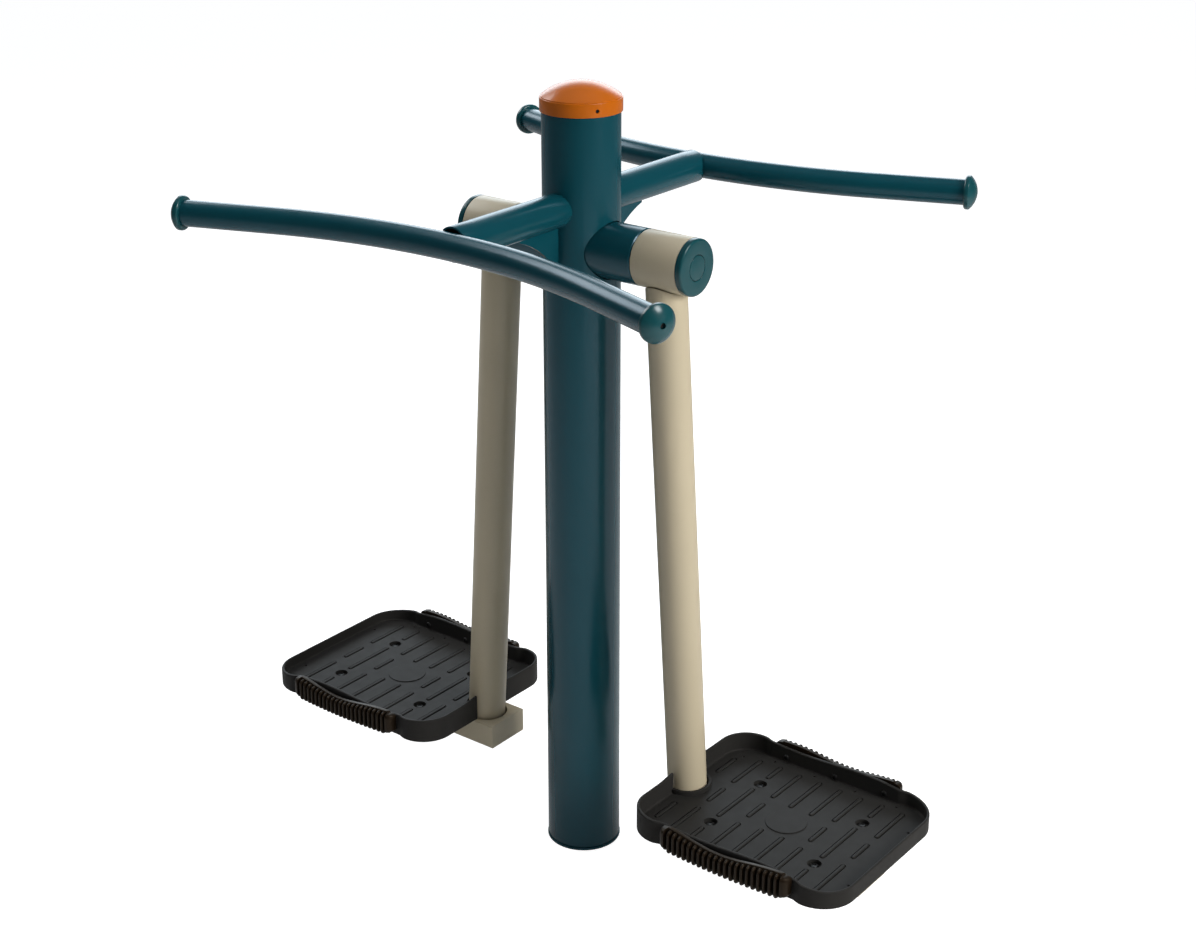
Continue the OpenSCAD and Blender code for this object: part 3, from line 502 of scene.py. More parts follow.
base = build("base_plate", [lathe(UP, rounded([
    (0, 0, 0), (BASE_R, 0, 0.4), (BASE_R, BASE_T, 0.7), (BASE_PLUG_R, BASE_T, 0),
    (BASE_PLUG_R, BASE_PLUG_Z, 1.0), (0, BASE_PLUG_Z, 0)], 4), 192)])
holes = []
for i in range(4):
    angle = radians(45 + 90 * i)
    hole = upright(BASE_BOLTS_R * cos(angle), BASE_BOLTS_R * sin(angle))
    holes.append(bar_part(hole, BASE_HOLE_R, -2, BASE_PLUG_Z + 2, 48))
carve(base, holes)
soften(base)
dress(base, "teal_paint", "frame", "base_disc")
print("post", len(post.data.polygons), "faces")

# %% [markdown]
# The post's cap is an injection-moulded lid: a straight band that grips the tube, a soft upper
# corner, a small step, and a dome that sheds rain. Three screws hold it through holes in the band.

# %% Post cap
DOME_EDGE = 58.0
CAP_BORE = 57.2
CAP_SHOULDER = (52.8, POST_Z[1] + 0.4)
CAP_HOLE_R = 2.8
cap_z = dome(CAP_R, CAP_Z[2] - CAP_Z[1], CAP_Z[2])
cap_radii = [DOME_EDGE * (1 - (k / 24.0) ** 1.3) for k in range(1, 24)]
cap_dome = [(radius, cap_z(radius)) for radius in cap_radii]
section = rounded([
    (0, CAP_Z[2] - 2.4, 0), (30, CAP_Z[2] - 7.6, 0), (CAP_SHOULDER[0], CAP_Z[1] - 0.5, 0),
    (*CAP_SHOULDER, 0), (CAP_BORE, CAP_SHOULDER[1], 0), (CAP_BORE, CAP_Z[0], 0.4),
    (CAP_R, CAP_Z[0], 0.6), (CAP_R, CAP_Z[1], 1.4), (DOME_EDGE, CAP_Z[1], 0),
    (DOME_EDGE, cap_z(DOME_EDGE), 0)], 5)
post_cap = build("post_cap_dome", [lathe(UP, section + cap_dome + [(0, CAP_Z[2])], 192)])
screw_axes = []
for i in range(3):
    angle = radians(CAP_SCREW_TURN + 120 * i)
    out = (cos(angle), sin(angle), 0)
    screw_axes.append(Axis((CAP_R * out[0], CAP_R * out[1], CAP_SCREW_Z), out))
carve(post_cap, [bar_part(a, CAP_HOLE_R, -1.7, 4, 32) for a in screw_axes])
soften(post_cap, 25)
dress(post_cap, "orange_paint", "frame", "post_cap")
print("cap edge at", round(cap_z(DOME_EDGE), 1))

# %% [markdown]
# The crossarm is two lengths of 50 mm tube. Each is cut to a saddle where it meets the post and to
# a second, smaller saddle that cradles the handlebar, so its end stays open above and below the bar.

# %% Crossarms
def past_post(points):
    return np.hypot(points[:, 0], points[:, 1]) - (POST_R + SEAM)


def past_handle(face):
    def outside(points):
        ring = np.hypot(points[:, 0], points[:, 1] * face - HANDLE_CY) - HANDLE_BEND
        return np.hypot(ring, points[:, 2] - CROSS_Z) - (HANDLE_R + SEAM)
    return outside


def crossarm_end(axis, face):
    saddle = meet(axis, 200, 289, past_handle(face))

    def height(angles, radius):
        return np.minimum(saddle(angles, radius), CROSS_REACH)
    return height


for face_name, face in FACES.items():
    axis = Axis((0, 0, CROSS_Z), (0, face, 0))
    part = tube(axis, CROSS_R, CROSS_BORE, meet(axis, 20, 100, past_post),
                crossarm_end(axis, face), 5)
    dress(build("crossarm_tube_" + face_name, [part]), "teal_paint", "frame",
          "crossarm_" + face_name)
print("crossarm reach", CROSS_REACH)

# %% [markdown]
# A gusset is a laser-cut plate in the corner under each crossarm half. Its free edge is hollow, so
# the force flows from the tube into the post without a hard corner. The cut edges are broken.

# %% Gussets
GUSSET_REACH = 86.0
GUSSET_DROP = 66.0
GUSSET_TIP = 4.0
GUSSET_HALF = 3.0
GUSSET_HOLLOW = 147.0


def gusset_part(face):
    """The plate's outline, from the post along the crossarm and back by the hollow edge."""
    top = CROSS_Z - CROSS_R + 0.1
    inner = sqrt(POST_R ** 2 - GUSSET_HALF ** 2) + 0.1
    tip = np.array((POST_R + GUSSET_REACH, CROSS_Z - CROSS_R - GUSSET_TIP))
    foot = np.array((POST_R + GUSSET_TIP, CROSS_Z - CROSS_R - GUSSET_DROP))
    run = foot - tip
    chord = float(np.linalg.norm(run))
    across = np.array((-run[1], run[0])) / chord
    centre = (tip + foot) / 2 + across * sqrt(GUSSET_HOLLOW ** 2 - chord ** 2 / 4)
    a0 = atan2(*(tip - centre)[::-1])
    a1 = atan2(*(foot - centre)[::-1])
    if abs(a1 - a0) > pi:
        a1 += 2 * pi if a1 < a0 else -2 * pi
    turns = [a0 + (a1 - a0) * k / 32 for k in range(33)]
    outline = [(inner, foot[1]), (inner, top), (tip[0], top)]
    outline += [tuple(centre + GUSSET_HOLLOW * np.array((cos(a), sin(a)))) for a in turns]
    return loft([[(x, y * face, z) for y, z in outline] for x in (-GUSSET_HALF, GUSSET_HALF)])


gussets = build("gusset_plates", [gusset_part(face) for face in FACES.values()])
bevel(gussets, 0.7, 40)
level(gussets)
dress(gussets, "teal_paint", "frame", "gussets")
print("gussets", len(gussets.data.polygons), "faces")

# %% [markdown]
# Each handlebar is one 38 mm tube, rolled to an even curve in the middle with a straight grip at
# each end. A moulded cap closes each end: a round-backed flange, a dome, and a deep hole for its screw.

# %% Handlebars
def handle_path(face):
    """Points and outward directions along the bar's middle line, from left to right."""
    turns = [HANDLE_ANGLE * k / 60 for k in range(-60, 61)]
    path = [(HANDLE_BEND * sin(a), HANDLE_CY - HANDLE_BEND * cos(a), a) for a in turns]
    x, y, a = path[-1]
    steps = [HANDLE_STRAIGHT * t for t in (0.2, 0.4, 0.6, 0.8, 0.98, 0.995, 0.999, 1.0)]
    ends = [(x + step * cos(a), y + step * sin(a), a) for step in steps]
    left = [(-x, y, -a) for x, y, a in reversed(ends)]
    return [(x, y * face, a * face) for x, y, a in left + path + ends]


def handle_ring(point, radius):
    x, y, a = point
    angles = circle(80)
    out = np.outer(np.cos(angles), (-sin(a), cos(a), 0.0))
    out = out + np.outer(np.sin(angles), (0.0, 0.0, 1.0))
    return np.array((x, y, CROSS_Z)) + out * radius


for face_name, face in FACES.items():
    path = handle_path(face)
    outer = [handle_ring(point, HANDLE_R) for point in path]
    inner = [handle_ring(point, HANDLE_BORE) for point in reversed(path)]
    bar = build("handlebar_tube_" + face_name, [loft(outer + inner, loop=True)])
    dress(bar, "teal_paint", "frame", "handlebar_" + face_name)

HANDLE_END = (
    HANDLE_BEND * sin(HANDLE_ANGLE) + HANDLE_STRAIGHT * cos(HANDLE_ANGLE),
    HANDLE_CY - HANDLE_BEND * cos(HANDLE_ANGLE) + HANDLE_STRAIGHT * sin(HANDLE_ANGLE))
GRIP_R = 25.0
GRIP_RIM = 7.0
GRIP_DOME = 11.0
GRIP_HOLE_R = 3.75
GRIP_HOLE_Z = 13.0
GRIP_PLUG = 20.0
grip_z = dome(GRIP_R, GRIP_DOME, GRIP_RIM + GRIP_DOME)
grip_radii = [GRIP_R - (GRIP_R - 4.0) * k / 14.0 for k in range(1, 15)]
grip_dome = [(radius, grip_z(radius)) for radius in grip_radii]
rim = rounded([(HANDLE_BORE - 0.1, 0, 0), (21.5, 0, 0), (GRIP_R, 0, 3.4), (GRIP_R, GRIP_RIM, 1.0),
               grip_dome[0] + (0,), (0, GRIP_RIM, 0)], 5)[:-1]
grip_section = [(0, -GRIP_PLUG), (15.6, -GRIP_PLUG), (16.4, 1 - GRIP_PLUG)] + rim
grip_section += grip_dome[1:] + [(GRIP_HOLE_R, grip_dome[-1][1] - 0.3),
                                 (GRIP_HOLE_R, GRIP_HOLE_Z), (0, GRIP_HOLE_Z)]
end_axes = []
for face_name, face in FACES.items():
    for side_name, side in SIDES.items():
        axis = Axis((HANDLE_END[0] * side, HANDLE_END[1] * face, CROSS_Z),
                    (cos(HANDLE_ANGLE) * side, sin(HANDLE_ANGLE) * face, 0))
        end_axes.append(axis)
        name = face_name + "_" + side_name
        cap = build("grip_cap_" + name, [lathe(axis, grip_section, 96)], 28)
        dress(cap, "teal_cap", "frame", "handle_cap_" + name)
print("handlebar ends at", [round(v, 1) for v in HANDLE_END])

# %% [markdown]
# The hub tube passes through the post and carries the axle. Each end is chamfered, and the bearing
# housing turns beside it with a 1 mm gap. Outside the housing sits a turned cap with a round plug
# over its screw, which shows as a fine ring on the face.

# %% Hub
def sided(side):
    return Axis((0, 0, HUB_Z), (side, 0, 0))


HUB_BORE = 36.5
CHAMFER = 1.6
PLUG_SEAT = 18.75
PLUG_R = 18.15
PLUG_T = 2.1
CAP_FLOOR_T = 3.5
SHOULDER_R = 28.0
SHOULDER_X = (141.0, 168.0)

hub = build("hub_tube_turned", [lathe(HUB, rounded([
    (HUB_R - CHAMFER, -HUB_REACH, 0.2), (HUB_R, CHAMFER - HUB_REACH, 0.2),
    (HUB_R, HUB_REACH - CHAMFER, 0.2), (HUB_R - CHAMFER, HUB_REACH, 0.2),
    (HUB_BORE, HUB_REACH, 0.4), (HUB_BORE, -HUB_REACH, 0.4)], 4), 160)])
dress(hub, "teal_paint", "frame", "hub_tube")

for side_name, side in SIDES.items():
    axis = sided(side)
    x0, x1 = HUB_CAP_X
    section = rounded([
        (0, x0, 0), (HUB_R, x0, 0.5), (HUB_R, x1, 3.5), (PLUG_SEAT, x1, 0.9),
        (PLUG_SEAT, x0 + CAP_FLOOR_T, 0), (0, x0 + CAP_FLOOR_T, 0)], 6)
    cap = build("hub_cap_turned_" + side_name, [lathe(axis, section, 160)], 28)
    dress(cap, "teal_cap", "frame", "hub_cap_" + side_name)
    section = rounded([
        (0, x1 - PLUG_T, 0), (PLUG_R, x1 - PLUG_T, 0.2), (PLUG_R, x1, 0.9), (0, x1, 0)], 4)
    plug = build("hub_plug_turned_" + side_name, [lathe(axis, section, 128)], 28)
    dress(plug, "teal_cap", "frame", "hub_plug_" + side_name)

    x0, x1 = HOUSING_X
    section = rounded([
        (HUB_R, x0, 1.8), (HUB_R, x1, 1.2), (BEARING_R, x1, 0.5),
        (BEARING_R, SHOULDER_X[1], 0), (SHOULDER_R, SHOULDER_X[1], 0),
        (SHOULDER_R, SHOULDER_X[0], 0), (BEARING_R, SHOULDER_X[0], 0), (BEARING_R, x0, 0.5)], 4)
    shell = build("housing_turned_" + side_name, [lathe(axis, section, 160)])
    dress(shell, "beige_paint", side_name + "_swing", "housing_" + side_name)
print("housing", HOUSING_X)

# %% [markdown]
# A swing arm is a straight 60 mm tube that splays outward as it goes down. Its top is cut a little
# wider than the housing's round, which leaves a thin gap on each side. Its foot goes through a hole
# in the support bar, an 80 by 40 mm box tube with welded end plates, and the hole's dark edge shows
# round the arm. Four lugs on the bar carry the tray's bolts.

# %% Arms and support bars
ARM_FOOT_Z = 116.0
ARM_BORE = 27.0
TOP_CUT_R = 51.0
BAR_WALL = 3.0
LUG_HALF = 22.0
LUG_Y = (40.0, 85.0)
LUG_Z = (148.0, 153.0)
BOLT_HOLE_R = 4.2


def arm_axis():
    foot_x = ARM_TOP_X + (HUB_Z - ARM_FOOT_Z) * tan(ARM_SPLAY)
    return Axis((foot_x, 0, ARM_FOOT_Z), (-sin(ARM_SPLAY), 0, cos(ARM_SPLAY)))


def below_housing(points):
    middle = HUB_Z - HUB_R - 0.2 + TOP_CUT_R
    return np.hypot(points[:, 1], points[:, 2] - middle) - TOP_CUT_R


def above_foot(points):
    return points[:, 2] - ARM_FOOT_Z


arm_line = arm_axis()
arm_part = tube(arm_line, ARM_R, ARM_BORE, meet(arm_line, -30, 30, above_foot),
                meet(arm_line, 750, 872, below_housing), 9)
lug_parts = []
for x in BOLT_X:
    for y in (1, -1):
        flat_ring = rounded([
            (x - LUG_HALF, LUG_Y[0] * y, 0), (x + LUG_HALF, LUG_Y[0] * y, 0),
            (x + LUG_HALF, LUG_Y[1] * y, 6), (x - LUG_HALF, LUG_Y[1] * y, 6)], 6)
        lug_parts.append(loft([[(u, v, z) for u, v in flat_ring] for z in LUG_Z]))
bolt_axes = [upright(x, y) for x in BOLT_X for y in (-BOLT_Y, BOLT_Y)]
lug_holes = [bar_part(a, BOLT_HOLE_R, 140, 160, 32) for a in bolt_axes]

for side_name, side in SIDES.items():
    body = side_name + "_swing"
    arm = build("arm_tube_" + side_name, [mirrored(arm_part, side)])
    dress(arm, "beige_paint", body, "arm_" + side_name)

    ring = rounded([(-BAR_W / 2, BAR_Z[0], 2.4), (BAR_W / 2, BAR_Z[0], 2.4),
                    (BAR_W / 2, BAR_Z[1], 2.4), (-BAR_W / 2, BAR_Z[1], 2.4)], 5)
    middle = (BAR_Z[0] + BAR_Z[1]) / 2
    rings = []
    for x, inset in ((BAR_X[0], 0.8), (BAR_X[0] + 0.25, 0.25), (BAR_X[0] + 0.9, 0.0),
                     (BAR_X[1] - 0.9, 0.0), (BAR_X[1] - 0.25, 0.25), (BAR_X[1], 0.8)):
        rings.append([(x * side, y * (1 - inset / 40), middle + (z - middle) * (1 - inset / 20))
                      for y, z in ring])
    bar = build("support_bar_tube_" + side_name, [loft(rings)])
    inner_x = sorted((side * (BAR_X[0] + BAR_WALL), side * (BAR_X[1] - BAR_WALL)))
    inner_y = BAR_W / 2 - BAR_WALL
    carve(bar, [box_part(inner_x, (-inner_y, inner_y), (BAR_Z[0] + BAR_WALL, BAR_Z[1] - BAR_WALL))])
    hole = Axis((arm_line.origin[0] * side, 0, ARM_FOOT_Z),
                (-sin(ARM_SPLAY) * side, 0, cos(ARM_SPLAY)))
    carve(bar, [bar_part(hole, ARM_R + BAR_GAP, 5, 60, 96)])
    level(bar)
    dress(bar, "beige_paint", body, "support_bar_" + side_name, "bar_end_plates_" + side_name)

    lugs = build("tray_lug_plates_" + side_name, [mirrored(p, side) for p in lug_parts])
    carve(lugs, [mirrored(p, side) for p in lug_holes])
    bevel(lugs, 0.5, 40)
    level(lugs)
    dress(lugs, "beige_paint", body, "tray_lugs_" + side_name)
print("arm foot at x", round(arm_line.origin[0], 1))

# %% [markdown]
# The foot tray is one moulding of tough black plastic. Its wall follows a rounded outline with a
# slight waist where the bumpers sit, and its rim dips, rises and falls towards the far end. The floor
# meets the wall in a fillet. A notch with a low collar lets the arm through at the near end, and the
# rim rises a little at the notch's tips. Each rib is a low round strip with a fine line round it.
# Cosine steps carry the rim and the waist, because a moulded wall changes its height without corners.

# %% Foot trays
def ease(t):
    return (1 - cos(pi * t)) / 2


RIM = ((0.0, 29.5), (0.36, 24.7), (0.65, 28.7), (1.0, 17.5))
TIP_RISE = 3.0
TIP_REACH = 34.0
FILLET = 3.0
RIM_ROUND = 1.9
FOOT_ROUND = 1.6
COLLAR_WALL = 4.0
BOSS_R = 14.5
RECESS_R = 10.5
RECESS_Z = 156.5
DRAIN_R = 2.2


def rim_z(x, y):
    """Height of the rim, which waves along the tray and rises a little beside the notch."""
    share = min(1.0, max(0.0, (x - TRAY_X[0]) / (TRAY_X[1] - TRAY_X[0])))
    height = RIM[-1][1]
    for (s0, h0), (s1, h1) in zip(RIM, RIM[1:]):
        if s0 <= share <= s1:
            height = h0 + (h1 - h0) * ease((share - s0) / (s1 - s0))
            break
    if x < TRAY_X[0] + 20:
        near = max(0.0, 1 - max(0.0, abs(y) - NOTCH_R) / TIP_REACH)
        height += TIP_RISE * ease(near)
    return FLOOR_Z + height


def tray_outline(dx, dy):
    """The outline, moved in by dx at the ends and by dy along the sides."""
    x0 = TRAY_X[0] + CORNER_IN
    x1 = TRAY_X[1] - CORNER_OUT
    y = TRAY_HALF - dy

    def corner(x, radius, turns):
        """Points round one corner; turns are angles."""
        return [(x + (radius - dx) * cos(a), TRAY_HALF - radius + (radius - dy) * sin(a))
                for a in turns]

    half = [(TRAY_X[0] + dx, (TRAY_HALF - CORNER_IN) * k / 9) for k in range(9)]
    half += corner(x0, CORNER_IN, [pi - pi / 2 * k / 20 for k in range(21)])
    half += [(x0 + TRAY_BEND * k / 10, y - TRAY_WAIST * ease(k / 10)) for k in range(1, 11)]
    half += [(x0 + TRAY_BEND + (x1 - x0 - 2 * TRAY_BEND) * k / 20, y - TRAY_WAIST)
             for k in range(1, 20)]
    half += [(x1 - TRAY_BEND * (1 - k / 10), y - TRAY_WAIST * ease(1 - k / 10)) for k in range(10)]
    half += corner(x1, CORNER_OUT, [pi / 2 * (1 - k / 20) for k in range(21)])
    half += [(TRAY_X[1] - dx, (TRAY_HALF - CORNER_OUT) * (1 - k / 6)) for k in range(1, 6)]
    half.append((TRAY_X[1] - dx, 0.0))
    return half + [(x, -y) for x, y in reversed(half[1:-1])]


def tray_shell():
    """The wall's section carried round the outline, from the ceiling below the floor to the floor."""
    sizes = tray_outline(0, 0)

    def ring(dx, dy, height):
        return [(x, y, height(u, v)) for (x, y), (u, v) in zip(tray_outline(dx, dy), sizes)]

    def at(z):
        return lambda x, y: z

    def below_rim(drop_by):
        return lambda x, y: rim_z(x, y) - drop_by

    arc = [(1 - cos(k * pi / 8), 1 - sin(k * pi / 8)) for k in range(5)]
    wall_foot = BAR_Z[1] + FOOT_ROUND
    rings = [ring(END_WALL, SIDE_WALL, at(z)) for z in (FLOOR_Z - FLOOR_T, BAR_Z[1])]
    rings += [ring(FOOT_ROUND * v, FOOT_ROUND * v, at(BAR_Z[1] + FOOT_ROUND * u)) for u, v in arc]
    rings += [[(x, y, wall_foot + (z - RIM_ROUND - wall_foot) * share)
               for x, y, z in ring(0, 0, below_rim(0))] for share in (0.33, 0.66)]
    rings += [ring(RIM_ROUND * u, RIM_ROUND * u, below_rim(RIM_ROUND * v)) for u, v in arc]
    rings += [ring(END_WALL - RIM_ROUND * u, SIDE_WALL - RIM_ROUND * u, below_rim(RIM_ROUND * v))
              for u, v in reversed(arc)]
    rings += [ring(END_WALL + FILLET * u, SIDE_WALL + FILLET * u, at(FLOOR_Z + FILLET * v))
              for u, v in arc]
    return loft(rings)


def collar_part():
    """A low ring round the notch, cut straight along the tray's near end."""
    rings = []
    for z, inset in ((FLOOR_Z - 3, 0), (FLOOR_Z + 5.4, 0), (FLOOR_Z + 6.5, 0.5), (FLOOR_Z + 7, 1.6)):
        radius = NOTCH_R + COLLAR_WALL - inset
        x = TRAY_X[0] + 0.5 + inset
        a = acos((x - NOTCH_X) / radius)
        rings.append([(NOTCH_X + radius * cos(t), radius * sin(t), z)
                      for t in np.linspace(-a, a, 65)])
    return loft(rings)


def stadium(x, y0, y1, width, inset, z):
    """A round-ended strip along Y."""
    half = width / 2 - inset
    points = []
    for y, turn in ((y1 - width / 2, 0.0), (y0 + width / 2, pi)):
        for k in range(13):
            a = turn + pi * k / 12
            points.append((x + half * cos(a), y + half * sin(a), z))
    return points


RIB_SIDE = ((0.0, -2.2), (0.0, 0.5), (0.4, 0.9), (1.0, 1.15), (1.7, 1.25))
PAD_SIDE = ((0.0, -1.4), (0.1, 0.6), (0.3, 1.0), (0.8, 1.2))


def raised(outline, side):
    """A low form on the floor. side lists how far in and how high its edge goes."""
    return loft([outline(inset, FLOOR_Z + z) for inset, z in side])


RIB_ROWS = (
    ((55, 106),), ((-21.9, 21.9), (45, 125)), ((-48, 48), (87, 127)), ((-21.9, 21.9), (45, 125)),
    ((38, 125),), ((38, 125),), ((-21.9, 21.9), (45, 125)), ((-48, 48), (87, 127)),
    ((-21.9, 21.9), (45, 125)))
RIB_FIRST = 219.0
RIB_STEP = 36.0
RIB_W = 5.4
RIB_LINE = 1.7
RIB_LINE_DEPTH = 2.2
PAD_X = 380.8
PAD_R = 31.0
DRAINS = [(273, 136), (345, 136), (417, 136), (489, 136), (538.2, 85), (226.1, 119)]


def rib_spans():
    """The middle line and the two ends of every rib."""
    spans = []
    for i, row in enumerate(RIB_ROWS):
        x = RIB_FIRST + RIB_STEP * i
        for y0, y1 in row:
            spans.append((x, y0, y1))
            if y0 > 0:
                spans.append((x, -y1, -y0))
    return spans


def rib_parts():
    parts = []
    for x, low, high in rib_spans():
        parts.append(raised(lambda inset, z: stadium(x, low, high, RIB_W, inset, z), RIB_SIDE))
    pad = upright(PAD_X)
    parts.append(raised(lambda inset, z: pad.at(PAD_R - inset, circle(72), z), PAD_SIDE))
    return parts


def rib_grooves():
    """A fine moulded line round every rib."""
    levels = (FLOOR_Z - RIB_LINE_DEPTH, FLOOR_Z + 2)
    return [loft([stadium(x, low, high, RIB_W, -RIB_LINE, z) for z in levels])
            for x, low, high in rib_spans()]


def tray_mesh(side):
    tray = build("tray_moulding", [tray_shell()])
    below = (BAR_Z[1] + 0.05, FLOOR_Z - FLOOR_T + 1)
    under = [box_part((TRAY_X[0] + 2, TRAY_X[1] - 2), (y, y + 4), below) for y in (24, -28)]
    under += [bar_part(a, BOSS_R, *below, 48) for a in bolt_axes]
    carve(tray, under + [collar_part()], "UNION")
    notch = upright(NOTCH_X)
    cuts = [bar_part(notch, NOTCH_R, 140, 230, 128)]
    cuts += [bar_part(a, RECESS_R, RECESS_Z, 180, 48) for a in bolt_axes]
    carve(tray, cuts)
    carve(tray, [box_part((TRAY_X[0] - 5, NOTCH_X), (-NOTCH_R, NOTCH_R), (140, 230))])
    bevel(tray, 0.7, 42)
    holes = [bar_part(a, BOLT_HOLE_R, 140, 160, 32) for a in bolt_axes]
    holes += [bar_part(upright(x, y * f), DRAIN_R, 140, 180, 20)
              for x, y in DRAINS for f in (1, -1)]
    carve(tray, holes)
    carve(tray, rib_grooves())
    joined = build("ribs", rib_parts())
    shape = bmesh.new()
    shape.from_mesh(tray.data)
    shape.from_mesh(joined.data)
    shape.to_mesh(tray.data)
    shape.free()
    drop(joined)
    if side < 0:
        tray.data.transform(Matrix.Diagonal((-1, 1, 1, 1)))
        tray.data.flip_normals()
    level(tray, 34)
    return tray


for side_name, side in SIDES.items():
    tray = tray_mesh(side)
    tray.name = "tray_moulding_" + side_name
    dress(tray, "black_plastic", side_name + "_swing", "tray_" + side_name)
print("tray", len(tray.data.polygons), "faces")

# %% [markdown]
# What repeats is placed by two Geometry Nodes trees. The first puts a screw on each point of a small
# mesh and turns it to the direction stored there. The second lays a row of fins along a bumper's
# backing and follows its bow. It scales the fins down where the backing dips, a little off its middle.

# %% Geometry Nodes trees
def new_tree(name, sockets):
    tree = bpy.data.node_groups.new(name, "GeometryNodeTree")
    for label, kind in sockets.items():
        tree.interface.new_socket(label, in_out="INPUT", socket_type="NodeSocket" + kind)
    tree.interface.new_socket("Result", in_out="OUTPUT", socket_type="NodeSocketGeometry")
    return tree, tree.nodes.new("NodeGroupInput").outputs


def calc(tree, operation, a, b):
    return node(tree, "ShaderNodeMath", {0: a, 1: b}, operation=operation)


def close_tree(tree, geometry, finish):
    """Every tree ends the same way: real mesh, then its material."""
    real = node(tree, "GeometryNodeRealizeInstances", {"Geometry": geometry})
    paint = node(tree, "GeometryNodeSetMaterial", {"Geometry": real, "Material": finish})
    node(tree, "NodeGroupOutput", {"Result": paint})
    return tree


def screws_tree():
    tree, given = new_tree("Screws on points", {
        "Places": "Geometry", "Screw": "Object", "Size": "Float", "Finish": "Material"})
    screw = node(tree, "GeometryNodeObjectInfo", {"Object": given["Screw"]})
    aim = node(tree, "GeometryNodeInputNamedAttribute", data_type="FLOAT_VECTOR")
    fill(tree, aim, {"Name": "aim"})
    turned = node(tree, "FunctionNodeAlignRotationToVector", {"Vector": aim}, axis="Z")
    placed = node(tree, "GeometryNodeInstanceOnPoints", {
        "Points": given["Places"], "Instance": screw.outputs["Geometry"],
        "Rotation": turned, "Scale": given["Size"]})
    return close_tree(tree, placed, given["Finish"])


def fins_tree():
    tree, given = new_tree("Row of fins", {
        "Backing": "Geometry", "Fin": "Object", "Count": "Int", "Pitch": "Float",
        "Half Length": "Float", "Bow": "Float", "Dip Share": "Float", "Dip Middle": "Float",
        "Finish": "Material"})

    def vector(values):
        return node(tree, "ShaderNodeCombineXYZ", values)

    fin = node(tree, "GeometryNodeObjectInfo", {"Object": given["Fin"]})
    gaps = calc(tree, "SUBTRACT", given["Count"], 1.0)
    start = calc(tree, "MULTIPLY", calc(tree, "MULTIPLY", gaps, given["Pitch"]), -0.5)
    line = node(tree, "GeometryNodeMeshLine", {
        "Count": given["Count"], "Start Location": vector({"X": start}),
        "Offset": vector({"X": given["Pitch"]})}, mode="OFFSET")
    where = node(tree, "GeometryNodeInputPosition")
    along = node(tree, "ShaderNodeSeparateXYZ", {"Vector": where})
    share = calc(tree, "DIVIDE", along, given["Half Length"])
    near = calc(tree, "SUBTRACT", 1.0, calc(tree, "MULTIPLY", share, share))
    moved = node(tree, "GeometryNodeSetPosition", {
        "Geometry": line, "Offset": vector({"Y": calc(tree, "MULTIPLY", near, given["Bow"])})})
    aside = calc(tree, "SUBTRACT", along, given["Dip Middle"])
    aside = calc(tree, "DIVIDE", aside, given["Half Length"])
    fall = calc(tree, "SUBTRACT", 1.0, calc(tree, "MULTIPLY", aside, aside))
    fall = calc(tree, "POWER", calc(tree, "MAXIMUM", fall, 0.0), 3.0)
    lowered = calc(tree, "MULTIPLY", fall, given["Dip Share"])
    placed = node(tree, "GeometryNodeInstanceOnPoints", {
        "Points": moved, "Instance": fin.outputs["Geometry"],
        "Scale": vector({"X": 1.0, "Y": 1.0, "Z": calc(tree, "SUBTRACT", 1.0, lowered)})})
    both = node(tree, "GeometryNodeJoinGeometry", {"Geometry": placed})
    fill(tree, both, {"Geometry": given["Backing"]})
    return close_tree(tree, both, given["Finish"])


def run_tree(piece, tree, values):
    """Adds the tree to a piece, sets its inputs by their identifiers, and keeps the plain result."""
    nodes = piece.modifiers.new(tree.name, "NODES")
    nodes.node_group = tree
    for item in tree.interface.items_tree:
        if item.in_out == "INPUT" and item.name in values:
            nodes[item.identifier] = values[item.name]
    piece.update_tag()
    bpy.context.view_layer.update()
    settle(piece)


SCREWS = screws_tree()
FIN_ROW = fins_tree()
print("trees:", SCREWS.name, "and", FIN_ROW.name)

# %% [markdown]
# The fasteners are socket screws with button heads: a low dome, a broken edge and a hexagon socket.
# The cap screws sit in the band's holes, the grip screws deep in their caps, the tray bolts in the
# floor's recesses, and six small bolts hold each tray's bumpers from inside the wall.

# %% Screws and bolts
def button(head_r, head_h, shank_r, shank):
    """A button head on z = 0 with a hexagon socket, and its shank below."""
    axis = upright()
    angles = circle(48)
    height = dome(head_r, head_h, head_h)
    socket = shank_r
    section = [(shank_r - 0.3, -shank), (shank_r, -shank + 0.3), (shank_r, 0), (head_r - 0.2, 0)]
    for k in range(8):
        radius = head_r - (head_r - socket * 1.02) * k / 7
        section.append((radius, height(radius)))
    rings = [axis.at(0, 0.0, -shank)] + [axis.at(radius, angles, z) for radius, z in section]
    sector = pi / 3
    hexagon = socket * 0.84 / np.cos((angles % sector) - sector / 2)
    top = rings[-1][0][2]
    for z in (top - 0.15, head_h / 2):
        rings.append(axis.at(hexagon, angles, z))
    rings.append(axis.at(0, 0.0, head_h / 2 - 0.1))
    return loft(rings)


def screw_set(name, body, places, sizes, *nodes):
    """Screws of one size on their places, which are pairs of point and direction."""
    screw = build("screw_pattern", [button(*sizes)], 30)
    mesh = bpy.data.meshes.new(name)
    mesh.from_pydata([Vector(point) * MM for point, _ in places], [], [])
    aims = mesh.attributes.new("aim", "FLOAT_VECTOR", "POINT")
    for i, (_, direction) in enumerate(places):
        aims.data[i].vector = direction
    piece = put(name, mesh)
    run_tree(piece, SCREWS, {"Screw": screw, "Size": 1.0, "Finish": SCREW})
    drop(screw)
    dress(piece, "black_steel", body, *nodes)
    soften(piece, 30)


WALL_BOLT_STEP = 87.0
WALL_BOLT_Y = 145.0
WALL_BOLT_Z = (168.0, 171.0)

